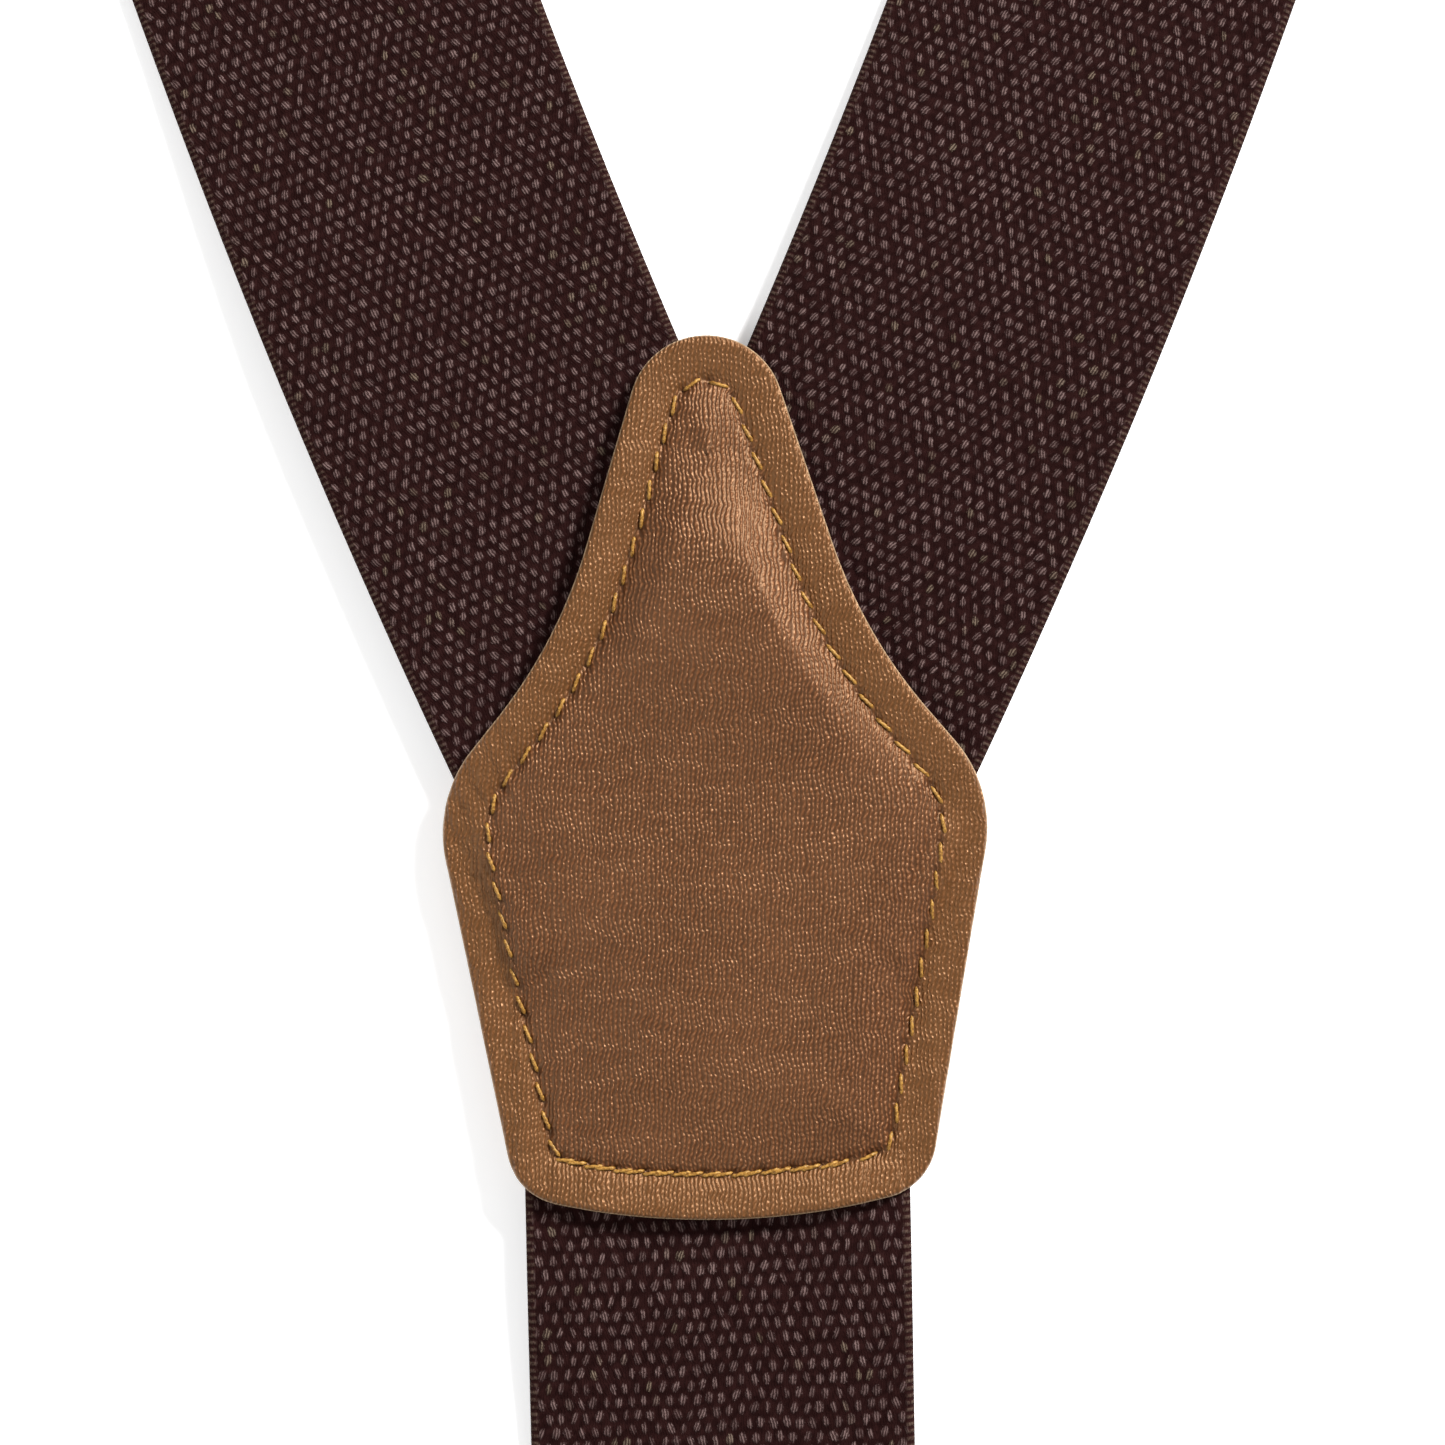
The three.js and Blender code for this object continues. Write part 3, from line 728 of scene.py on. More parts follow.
@dataclass(frozen=True)
class PatchOutline:
    """The patch's outline, walked clockwise from the middle of its top, in millimetres and degrees."""

    half_length: float = 39.9
    knob_radius: float = 7.0
    flank_angle: float = 17.5
    flank_length: float = 14.7
    waist_radius: float = 45.0
    waist_turn: float = 22.5
    waist_run: float = 3.6
    shoulder_radius: float = 12.0
    side_taper: float = 10.7
    side_length: float = 27.3
    corner_radius: float = 5.5
    base_rise: float = 12.7
    base_length: float = 16.0
    tilt: float = 1.2
    spacing: float = 0.42

    def ring(self, inset: float) -> np.ndarray:
        """Walks the closed outline a distance inside the edge.

        Args:
            inset: Distance from the edge, up to the smallest corner radius.

        Returns:
            Points in millimetres in the patch's own frame, the last one equal to the first.
        """
        walked = [np.array([0.0, self.half_length - inset])]
        heading = 0.0

        def run(length: float, true_length: float, turn: float) -> None:
            """Walks on, turning evenly.

            Args:
                length: Distance to walk.
                true_length: The same distance on the edge, which sets the number of steps.
                turn: Angle turned clockwise, in degrees.
            """
            nonlocal heading
            steps = max(2, math.ceil(true_length / self.spacing))
            for _ in range(steps):
                heading -= math.radians(turn) / steps / 2
                move = np.array([math.cos(heading), math.sin(heading)]) * length / steps
                walked.append(walked[-1] + move)
                heading -= math.radians(turn) / steps / 2

        def arc(radius: float, turn: float, bulge: float = -1.0) -> None:
            """Walks an arc.

            Args:
                radius: Radius of the edge's arc.
                turn: Angle turned clockwise, in degrees.
                bulge: -1 where the edge bulges outwards, 1 where it hollows.
            """
            angle = math.radians(abs(turn))
            run((radius + bulge * inset) * angle, radius * angle, turn)

        arc(self.knob_radius, 90 - self.flank_angle)
        run(self.flank_length, self.flank_length, 0.0)
        arc(self.waist_radius, -self.waist_turn, 1.0)
        run(self.waist_run, self.waist_run, 0.0)
        arc(self.shoulder_radius, self.flank_angle + self.waist_turn + self.side_taper)
        run(self.side_length, self.side_length, 0.0)
        arc(self.corner_radius, 90 - self.side_taper - self.base_rise)
        base_radius = walked[-1][0] / math.sin(math.radians(self.base_rise))
        base_angle = math.radians(self.base_rise)
        run(base_radius * base_angle, self.base_length, self.base_rise)
        half = np.array(walked)
        half[-1, 0] = 0.0
        mirrored = half[-2::-1] * np.array([-1.0, 1.0])
        return np.vstack([half, mirrored])

    def turned(self, points: np.ndarray) -> np.ndarray:
        """Turns points from the patch's own frame into the frame of the suspenders.

        Args:
            points: Places in the patch's own frame.

        Returns:
            The same places in the frame of the suspenders.
        """
        angle = math.radians(self.tilt)
        turn = np.array([[math.cos(angle), math.sin(angle)], [-math.sin(angle), math.cos(angle)]])
        return points @ turn


@dataclass(frozen=True)
class StrapLayers:
    """Where the straps lie under the leather, in millimetres: what the leather is draped over."""

    half_width: float
    lane: float
    lane_start: float = 347.8
    radius: float = 800.0
    shoulder_end: float = -8.0
    back_overlap: float = 4.0
    back_shift: float = -0.45
    lining: float = 1.2
    low_top: float = 3.0
    step: float = 1.55
    step_from: float = 39.0
    step_to: float = 30.0
    step_run: float = 6.0
    bridge_run: float = 11.0
    soften: float = 7.0
    feelers: tuple[tuple[float, int], ...] = ((0.3, 6), (0.65, 8), (1.0, 12))
    own_weight: float = 2.0

    def off_middle(self, points: np.ndarray, side: float) -> tuple[np.ndarray, np.ndarray]:
        """Measures how far points lie from a shoulder strap's middle line.

        Args:
            points: Places in the frame of the suspenders.
            side: -1 for the left strap, 1 for the right.

        Returns:
            Distances, positive on the outer side, and the angles round the strap's curve.
        """
        from_centre = points[..., 0] * side - (self.lane - self.radius)
        below = self.lane_start - points[..., 1]
        return np.hypot(from_centre, below) - self.radius, np.arctan2(below, from_centre)

    def crossing(self, points: np.ndarray) -> np.ndarray:
        """Gives how far the right strap is raised where it crosses over the left one.

        Args:
            points: Places in the frame of the suspenders.

        Returns:
            Lifts in millimetres.
        """
        off_left, _ = self.off_middle(points, -1.0)
        over = 1.0 - smoothstep(np.abs(off_left), self.half_width, self.half_width + self.step_run)
        return self.step * over * smoothstep(-points[..., 1], -self.step_from, -self.step_to)

    def height(self, points: np.ndarray, spare: float = 0.0) -> np.ndarray:
        """Gives the top of the highest layer.

        Args:
            points: Places in the frame of the suspenders.
            spare: How much wider and longer each strap is taken to be.

        Returns:
            Heights in millimetres.
        """
        x, y = points[..., 0], points[..., 1]
        top = np.full(x.shape, self.lining)
        off_left, _ = self.off_middle(points, -1.0)
        off_right, _ = self.off_middle(points, 1.0)
        between = np.maximum(off_left, off_right) < -self.half_width
        farthest = np.maximum(np.abs(off_left), np.abs(off_right))
        bridged = 1.0 - smoothstep(farthest, self.half_width, self.half_width + self.bridge_run)
        raised = self.low_top + self.step * smoothstep(-y, -self.step_from, -self.step_to) * bridged
        top = np.where(between, raised, top)
        steepest = math.asin((self.lane_start - self.shoulder_end) / self.radius)
        for off, angle in (self.off_middle(points, -1.0), self.off_middle(points, 1.0)):
            inside = (np.abs(off) < self.half_width + spare) & (angle < steepest + spare / self.radius)
            top = np.where(inside, np.maximum(top, raised), top)
        back_start = self.shoulder_end + self.back_overlap
        on_back = (np.abs(x - self.back_shift) < self.half_width + spare) & (y < back_start)
        return np.where(on_back, np.maximum(top, self.low_top), top)

    def draped(self, points: np.ndarray, soften: float, spare: float = 0.0) -> np.ndarray:
        """Gives the height of a stiff sheet laid over the layers.

        Args:
            points: Places in the frame of the suspenders.
            soften: How far the sheet bridges a step.
            spare: How much wider and longer each strap is taken to be.

        Returns:
            Heights in millimetres.
        """
        total = self.height(points, spare) * self.own_weight
        weight = self.own_weight
        for share, count in self.feelers:
            for i in range(count):
                angle = 2 * math.pi * i / count
                offset = np.array([math.cos(angle), math.sin(angle)]) * soften * share
                total = total + self.height(points + offset, spare)
                weight += 1.0
        return total / weight


@dataclass
class LeatherPatch:
    """Leather face draped over the strap ends, its lining, and the seam that joins them."""

    layers: StrapLayers
    outline: PatchOutline = field(default_factory=PatchOutline)
    thickness: float = 1.2
    seam_inset: float = 4.0
    seam_wander: float = 0.22
    stitch_pitch: float = 2.65
    stitch_gap: float = 0.14
    stitch_slant: float = 0.10
    edge_rings: tuple[float, ...] = (
        0.0, 0.03, 0.1, 0.22, 0.4, 0.7, 1.1, 1.6, 2.2, 2.7,
        3.15, 3.45, 3.7, 3.85, 3.95, 4.05, 4.15, 4.3, 4.5, 4.75,
    )
    middle_steps: int = 34
    spine: tuple[float, float] = (-21.0, 29.0)
    plateau: float = 5.95
    base_fall: float = 0.95
    left_fall: float = 0.7
    rise_run: float = 10.5
    rise_steeper: float = 4.0
    air: float = 0.12
    groove: float = 0.28
    groove_width: float = 0.62
    rim_rise: float = 0.58
    rolled_depth: float = 0.26
    rolled_width: float = 0.4
    ripple: float = 0.06
    least_cover: float = 0.3
    hole_radius: float = 0.34
    hole_depth: float = 0.30
    fold_at: tuple[float, float] = (3.4, 16.6)
    fold_run: tuple[float, float] = (0.5, 0.87)
    fold_rise: float = 2.5
    fold_length: float = 12.0
    fold_flanks: tuple[float, float] = (6.2, 12.5)
    doubled_base: tuple[float, float, float] = (-13.0, 14.0, -34.0)

    def cut(self) -> dict[str, object]:
        """Measures the outline that both leathers are cut to.

        Returns:
            Their flat width and length, and their area, in metres.
        """
        ring = self.outline.ring(0.0) * MM
        width, length = ring.max(axis=0) - ring.min(axis=0)
        x, y = ring[:, 0], ring[:, 1]
        area = abs(np.sum(x[:-1] * y[1:] - x[1:] * y[:-1])) / 2
        return {"flat": (float(width), float(length)), "area": float(area)}

    def stitch_places(self) -> tuple[np.ndarray, np.ndarray]:
        """Spaces the seam's stitches evenly along it.

        Returns:
            The stitches' start points and end points, in millimetres in the patch's own frame.
        """
        ring = self.outline.ring(self.seam_inset)
        side = waviness(ring[:, 0] / 7.0, ring[:, 1] / 7.0, 4.2)[:, None] * self.seam_wander
        normal = np.gradient(ring, axis=0)[:, ::-1] * np.array([1.0, -1.0])
        ring = ring + side * normal / np.maximum(np.linalg.norm(normal, axis=1), 1e-9)[:, None]
        steps = np.linalg.norm(np.diff(ring, axis=0), axis=1)
        length = np.concatenate([[0.0], np.cumsum(steps)])
        count = round(length[-1] / self.stitch_pitch)
        pitch = length[-1] / count
        start = (np.arange(count) + self.stitch_gap) * pitch
        end = (np.arange(count) + 1.0 - self.stitch_gap) * pitch
        first, last = read_along(ring, length, start), read_along(ring, length, end)
        run = last - first
        slant = np.column_stack([-run[:, 1], run[:, 0]]) * self.stitch_slant
        return first - slant, last + slant

    def fold_height(self, x: np.ndarray, y: np.ndarray) -> np.ndarray:
        """Gives the rise of the soft fold that runs down from the knob over the right strap's edge.

        Args:
            x: Places across, in the patch's own frame, in millimetres.
            y: Places along.

        Returns:
            Heights in millimetres, before the seam holds them down.
        """
        right, down = x - self.fold_at[0], y - self.fold_at[1]
        along = right * self.fold_run[0] - down * self.fold_run[1]
        off = right * self.fold_run[1] + down * self.fold_run[0]
        flank = np.where(off > 0.0, *self.fold_flanks)
        ridge = np.exp(-((along / self.fold_length) ** 2) - (off / flank) ** 2)
        ridge = ridge * (1.0 - 0.85 * smoothstep(y, 20.0, 32.0))
        return self.fold_rise * ridge

    def towards_spine(self, ring: np.ndarray) -> np.ndarray:
        """Gives the way from each point of a ring to the patch's middle line.

        Args:
            ring: Points in the patch's own frame, in millimetres.

        Returns:
            Offsets from the points to the middle line, which ends short of the patch's ends.
        """
        target = np.stack([np.zeros(len(ring)), np.clip(ring[:, 1], *self.spine)], axis=1)
        return target - ring

    def face_height(self, points: np.ndarray, inset: np.ndarray) -> np.ndarray:
        """Gives the height of the face's upper side.

        Args:
            points: Places in the patch's own frame, in millimetres.
            inset: Distance of each place from the edge, in millimetres.

        Returns:
            Heights in millimetres.
        """
        flat = self.outline.turned(points)
        x, y = points[..., 0], points[..., 1]
        height = self.layers.draped(flat, self.layers.soften) + self.thickness + self.air
        plateau = self.plateau - self.base_fall * smoothstep(-y, 4.0, 38.0)
        plateau = plateau - self.left_fall * smoothstep(-x, 2.0, 22.0)
        reach = self.rise_run - self.rise_steeper * smoothstep(x, -4.0, 8.0)
        reach = reach - self.rise_steeper * smoothstep(y, 4.0, 24.0) * smoothstep(-x, -8.0, 4.0)
        raised = smoothstep(inset, self.seam_inset - 0.4, self.seam_inset + reach)
        height = height + (plateau - height) * raised
        fold = self.fold_height(x, y) * smoothstep(inset, self.seam_inset - 0.5, self.seam_inset + 3.4)
        height = height + fold
        height = height - self.groove * np.exp(-(((inset - self.seam_inset) / self.groove_width) ** 2))
        height = height + self.rim_rise * (1.0 - smoothstep(inset, 0.2, self.seam_inset))
        height = height - self.rolled_depth * np.clip(1.0 - inset / self.rolled_width, 0.0, 1.0) ** 2
        ripple = waviness(x / 9.0, y / 13.0, 1.3)
        height = height + self.ripple * ripple * smoothstep(inset, 1.0, 8.0)
        return np.maximum(height, self.layers.draped(flat, 2.4, 2.6) + self.least_cover)

    def skin(
        self, rings: list[tuple[float, float]], step_rings: int, upper: bool
    ) -> tuple[np.ndarray, np.ndarray]:
        """Places the rings of one side of the face, from the edge to the middle line.

        Args:
            rings: Insets from the edge with the depth below the upper side, in millimetres.
            step_rings: Number of rings from the last inset to the middle line.
            upper: Whether this is the upper side.

        Returns:
            Points in metres in the frame of the suspenders, and their depth attribute.
        """
        starts, _ = self.stitch_places()
        rows, marks = [], []
        inner = self.outline.ring(self.edge_rings[-1])
        inwards = self.towards_spine(inner)
        reach = np.linalg.norm(inwards, axis=1)
        sheets = [(self.outline.ring(inset), np.full(len(inner), inset)) for inset, _ in rings]
        for i in range(1, step_rings + 1):
            share = (i / step_rings) ** 1.15
            sheets.append((inner + inwards * share, self.edge_rings[-1] + reach * share * 0.8))
        for i, (points, inset) in enumerate(sheets):
            height = self.face_height(points, inset)
            shade = 0.3 * np.exp(-(((inset - self.seam_inset) / 0.17) ** 2))
            if upper and abs(inset[0] - self.seam_inset) < 0.6:
                away = np.linalg.norm(points[:, None, :] - starts[None, :, :], axis=2).min(axis=1)
                hole = np.exp(-((away / self.hole_radius) ** 2))
                height = height - self.hole_depth * hole
                shade = np.maximum(shade, 0.95 * hole)
            below = rings[i][1] if i < len(rings) else (0.0 if upper else self.thickness)
            flat = self.outline.turned(points)
            rows.append(np.column_stack([flat, height - below]) * MM)
            marks.append(np.column_stack([inset, shade, np.full(len(points), float(upper))]))
        return np.array(rows), np.array(marks)

    def build_face(self, material: bpy.types.Material) -> bpy.types.Object:
        """Builds the draped leather face with its rolled cut edge.

        Args:
            material: The leather.

        Returns:
            The finished piece.
        """
        upper_rings = [(inset, 0.0) for inset in self.edge_rings]
        upper, upper_marks = self.skin(upper_rings, self.middle_steps, True)
        rounded = [(0.0, 0.3), (0.03, 0.75), (0.12, self.thickness * 0.96)]
        lower_rings = [*rounded, (2.0, self.thickness), (self.edge_rings[-1], self.thickness)]
        lower, lower_marks = self.skin(lower_rings, 5, False)
        points = np.concatenate([upper[::-1], lower])
        marks = np.concatenate([upper_marks[::-1], lower_marks])
        shape = wrapped_grid(points.shape[1] - 1, points, {"depth": marks})
        close_up(shape)
        piece = finished("patch_leather_face", shape, material)
        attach(piece, "root")
        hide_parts("patch_front")
        self.cut()
        return piece

    def rim_lift(self, ring: np.ndarray, inset: float) -> np.ndarray:
        """Gives how far the lining's rim curls up to meet the face where no strap lies between them.

        Args:
            ring: Places in the patch's own frame, in millimetres.
            inset: Their distance from the edge, in millimetres.

        Returns:
            Lifts in millimetres.
        """
        flat = self.outline.turned(ring)
        lining, low_top = self.layers.lining, self.layers.low_top
        filled = (self.layers.draped(flat, 2.0, 1.0) - lining) / (low_top - lining)
        inside = max(inset, 0.0)
        gap = self.face_height(ring, np.full(len(ring), inside)) - self.thickness - lining - 0.04
        share = 1.0 - float(smoothstep(np.array(inside), 1.5, 4.4))
        return np.clip(gap, 0.0, 1.3) * share * (1.0 - smoothstep(filled, 0.04, 0.45))

    def build_lining(self, material: bpy.types.Material) -> bpy.types.Object:
        """Builds the lining, flat but for its curled rim, with rounded edges.

        Args:
            material: The lining's finish.

        Returns:
            The finished piece.
        """
        top = self.layers.lining
        insets = (4.6, 3.8, 3.0, 2.2, 1.3)
        edge = [(0.35, top), (0.05, 1.1), (-0.12, 0.85), (-0.14, 0.45), (-0.05, 0.15), (0.15, 0.0)]
        profile = [(inset, top) for inset in insets] + edge + [(inset, 0.0) for inset in insets[::-1]]
        rows = []
        inner = self.outline.ring(insets[0])
        inwards = self.towards_spine(inner)
        spread = [1.0, 0.75, 0.5, 0.25]
        for share in spread:
            rows.append(np.column_stack([inner + inwards * share, np.full(len(inner), top)]))
        for inset, z in profile:
            ring = self.outline.ring(inset)
            rows.append(np.column_stack([ring, z + self.rim_lift(ring, inset)]))
        for share in spread[::-1]:
            rows.append(np.column_stack([inner + inwards * share, np.zeros(len(inner))]))
        points = np.array(rows)
        points[..., :2] = self.outline.turned(points[..., :2])
        marks = np.zeros_like(points)
        marks[..., 0] = 2.0
        shape = wrapped_grid(points.shape[1] - 1, points * MM, {"depth": marks})
        close_up(shape)
        piece = finished("patch_lining", shape, material)
        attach(piece, "root")
        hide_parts("patch_back")
        self.cut()
        return piece

    def build_seam(self, material: bpy.types.Material) -> bpy.types.Object:
        """Builds the seam's stitches, doubled along the base where the seam was started and finished.

        Args:
            material: The thread.

        Returns:
            The finished piece.
        """
        starts, ends = self.stitch_places()
        row = StitchRow(width=0.32, height=0.30, dip=0.30)
        shape = bmesh.new()
        for start, end in zip(starts, ends):
            self.sew(shape, row, start, end)
            left, right, top = self.doubled_base
            if start[1] < top and left < start[0] < right:
                half = (end - start) * 0.52
                lift = np.array([0.0, 0.22])
                self.sew(shape, row, start + half + lift, end + half + lift)
        piece = finished("patch_seam_stitches", shape, material)
        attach(piece, "root")
        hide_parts("patch_thread")
        return piece

    def sew(self, shape: bmesh.types.BMesh, row: "StitchRow", start: np.ndarray, end: np.ndarray) -> None:
        """Adds one stitch that lies on the leather.

        Args:
            shape: The shape to add to.
            row: The kind of stitch.
            start: Where the thread comes up, in the patch's own frame, in millimetres.
            end: Where the thread goes down.
        """
        both = np.array([start, end])
        height = self.face_height(both, np.full(2, self.seam_inset - 0.15)) + 0.05
        flat = self.outline.turned(both)
        row.add(shape, Vector((*flat[0], height[0])) * MM, Vector((*flat[1], height[1])) * MM)


@dataclass(frozen=True)
class StitchRow:
    """Stitches of two-ply thread, in millimetres: each one lies on the surface and dips in at its ends."""

    width: float = 0.42
    height: float = 0.32
    dip: float = 0.3
    sides: int = 12
    rings: int = 13
    turns: float = 1.6
    ply: float = 0.22

    def add(self, shape: bmesh.types.BMesh, start: Vector, end: Vector) -> None:
        """Adds one stitch to a shape.

        Args:
            shape: The shape to add to.
            start: Where the thread comes up, in metres.
            end: Where the thread goes down, in metres.
        """
        length = (end - start).length
        made = bmesh.ops.create_uvsphere(shape, u_segments=self.sides, v_segments=self.rings, radius=1.0)
        forward = (end - start).normalized()
        sideways = Vector((-forward.y, forward.x, 0.0)).normalized()
        upward = forward.cross(sideways) * -1.0 if forward.cross(sideways).z < 0 else forward.cross(sideways)
        middle = (start + end) / 2
        for vert in made["verts"]:
            local = vert.co.copy()
            run = local.z
            angle = math.atan2(local.y, local.x)
            fat = 1.0 + self.ply * math.cos(2.0 * angle + self.turns * 2.0 * math.pi * run)
            ring = math.sqrt(max(0.0, 1.0 - run ** 6))
            ring = ring * fat if abs(run) < 0.999 else 0.0
            off_side = math.cos(angle) * ring * self.width / 2 * MM
            off_up = (math.sin(angle) * ring * self.height / 2 + self.height * 0.2 - self.dip * run ** 4) * MM
            vert.co = middle + forward * (run * length / 2) + sideways * off_side + upward * off_up
        for face in {face for vert in made["verts"] for face in vert.link_faces}:
            face.smooth = True


# ------------------------------------------------------------------ webbing


@dataclass
class StrapRoute:
    """A strap's middle line as places with the direction of its width, in metres."""

    points: list[Vector] = field(default_factory=list)
    across: list[Vector] = field(default_factory=list)
    turn_steps: int = 22

    def add(self, point: Vector, across: Vector) -> None:
        """Adds a place to the end of the route, unless it is there already.

        Args:
            point: The place.
            across: Direction of the strap's width there.
        """
        if not self.points or (self.points[-1] - point).length > 1e-6:
            self.points.append(point)
            self.across.append(across)

    def half_turn(self, bar: Vector, radius: float, start: float, outward: Vector, across: Vector) -> None:
        """Adds a half turn round a bar.

        Args:
            bar: Middle of the bar.
            radius: Radius of the strap's middle line.
            start: Angle to start from, a quarter turn for the top.
            outward: Direction that angle 0 points in.
            across: Direction of the strap's width.
        """
        for i in range(self.turn_steps + 1):
            angle = start - math.pi * i / self.turn_steps
            offset = outward * math.cos(angle) + Vector((0.0, 0.0, math.sin(angle)))
            self.add(bar + offset * radius, across)

    def sampled(self, stations: np.ndarray) -> tuple[np.ndarray, np.ndarray, np.ndarray]:
        """Reads the route at distances along it.

        Args:
            stations: Distances from its start, in metres.

        Returns:
            Places, width directions and surface directions, each one row to a station.
        """
        points = np.array(self.points)
        across = np.array(self.across)
        length = self.lengths()
        nudge = 0.2 * MM
        late = np.clip(stations + nudge, 0.0, length[-1])
        early = np.clip(stations - nudge, 0.0, length[-1])
        ahead = read_along(points, length, late) - read_along(points, length, early)
        ahead = ahead / np.linalg.norm(ahead, axis=1)[:, None]
        width = read_along(across, length, stations)
        width = width / np.linalg.norm(width, axis=1)[:, None]
        return read_along(points, length, stations), width, np.cross(width, ahead)

    def lengths(self) -> np.ndarray:
        """Returns the distance of each place along the route."""
        steps = np.linalg.norm(np.diff(np.array(self.points), axis=0), axis=1)
        return np.concatenate([[0.0], np.cumsum(steps)])


def ramp_height(keys: list[tuple[float, float]], at: float) -> float:
    """Reads a height that ramps smoothly between keys.

    Args:
        keys: Places with their heights, in order.
        at: Where to read.

    Returns:
        The height.
    """
    if at <= keys[0][0]:
        return keys[0][1]
    for (low, start), (high, end) in zip(keys, keys[1:]):
        if at <= high:
            return start + (end - start) * float(smoothstep(np.array(at), low, high))
    return keys[-1][1]


@dataclass
class WebbingBand:
    """A length of woven webbing with rounded selvedges and a relief of yarns where it is finely meshed."""

    name: str
    route: StrapRoute
    width: float
    thickness: float
    rows_per_repeat: float = 1.08
    yarn_pitch: float = 1.17
    skew: float = 0.0
    fine: tuple[float, float] = (0.0, 0.0)
    turn_from: float = 9.0
    turn_step: float = 0.0006
    over: StrapLayers | None = None
    seed: float = 0.0
    columns: int = 118
    relief: float = 0.13
    fine_step: float = 0.0003
    plain_step: float = 0.0045
    drift: float = 0.15
    creep: float = 0.20
    over_from: float = 48.0
    over_to: float = 60.0

    def stations(self) -> np.ndarray:
        """Chooses where the rows lie, close together where the yarns or a tight turn show.

        Returns:
            Distances along the route, in metres.
        """
        total = self.route.lengths()[-1]
        places = [0.0]
        while places[-1] < total - 1e-6:
            at = places[-1]
            if self.fine[0] <= at < self.fine[1]:
                step = self.fine_step
            elif at >= self.turn_from:
                step = self.turn_step
            else:
                step = self.plain_step
            limits = [edge for edge in (*self.fine, self.turn_from, total) if edge > at + 1e-6]
            places.append(min([at + step, *limits]))
        return np.array(places)

    def section(self) -> tuple[np.ndarray, np.ndarray, np.ndarray]:
        """Walks the band's section from the middle of its underside round to the same place.

        Returns:
            Sideways places, heights, and 1 on the outer face falling to 0 underneath.
        """
        half, thick = self.width / 2, self.thickness / 2
        flat = half - thick * 0.8
        curve = np.linspace(0, math.pi, 9)[1:-1]
        top = np.linspace(-flat, flat, self.columns)
        turn = np.sin(curve)
        sideways = np.concatenate([
            np.linspace(0, -flat, 5), -flat - turn * thick * 0.8, top, flat + turn * thick * 0.8,
            np.linspace(flat, 0, 5),
        ])
        height = np.concatenate([
            np.full(5, -thick), -np.cos(curve) * thick, np.full(len(top), thick), np.cos(curve) * thick,
            np.full(5, -thick),
        ])
        face = np.clip(height / thick, 0.0, 1.0)
        return sideways, height, face

    def yarn_height(self, across: np.ndarray, along: np.ndarray, edge: np.ndarray) -> np.ndarray:
        """Gives the relief of the warp yarns, as a share of their full height.

        Args:
            across: Places across, in yarn pitches.
            along: Places along, in rows.
            edge: Distance from the selvedge in millimetres.

        Returns:
            The relief at each place.
        """
        row = np.floor(along)
        shifted = across + 0.5 * np.mod(row, 2.0)
        x = (shifted - np.floor(shifted) - 0.5) / 0.36
        y = (along - row - 0.5) / 0.48
        oval = np.clip(1.0 - x * x - y * y, 0.0, 1.0) ** 0.7
        rib = 0.5 + 0.5 * np.sin(along * 4.0 * math.pi)
        hem = smoothstep(edge, 0.9, 0.5)
        return oval * (1.0 - hem) + 0.5 * rib * hem

    def build(self, material: bpy.types.Material) -> bpy.types.Object:
        """Builds the band.

        Args:
            material: The webbing.

        Returns:
            The finished piece, which still has to ride on a body.
        """
        stations = self.stations()
        sideways, height, face = self.section()
        point, width, up = self.route.sampled(stations)
        side = sideways / MM
        run = stations / MM
        grid_side, grid_run = np.meshgrid(side, run)
        drift = waviness(grid_side / 9.0, grid_run / 11.0, self.seed)
        creep = waviness(grid_side / 7.0, grid_run / 8.0, self.seed + 5.0)
        across = grid_side / self.yarn_pitch + self.drift * drift
        along = (grid_run + grid_side * self.skew) / self.rows_per_repeat + self.creep * creep
        edge = np.broadcast_to(self.width / MM / 2 - np.abs(side), across.shape)
        fine_in = smoothstep(grid_run, self.fine[0] / MM - 2.0, self.fine[0] / MM + 1.0)
        fine_out = 1.0 - smoothstep(grid_run, self.fine[1] / MM - 6.0, self.fine[1] / MM)
        fuzz = waviness(grid_side * 2.1, grid_run * 1.2, self.seed + 9.0)
        relief = self.yarn_height(across, along, edge) * (1.0 + 0.35 * fuzz) * fine_in * fine_out
        lift = height[None, :] + relief * self.relief * MM * face[None, :]
        points = (
            point[:, None, :]
            + width[:, None, :] * sideways[None, :, None]
            + up[:, None, :] * lift[..., None]
        )
        if self.over is not None:
            near = 1.0 - smoothstep(points[..., 1] / MM, self.over_from, self.over_to)
            points[..., 2] += self.over.crossing(points[..., :2] / MM) * near * MM
        marks = np.stack([across, along, edge], axis=-1)
        shape = wrapped_grid(len(side) - 1, points, {"weave": marks})
        open_edges = [item for item in shape.edges if item.is_boundary]
        caps = bmesh.ops.holes_fill(shape, edges=open_edges, sides=0)["faces"]
        bmesh.ops.recalc_face_normals(shape, faces=shape.faces)
        for item in shape.faces:
            item.smooth = True
        for cap in caps:
            cap.smooth = False
            for item in cap.edges:
                item.smooth = False
        return finished(self.name, shape, material)


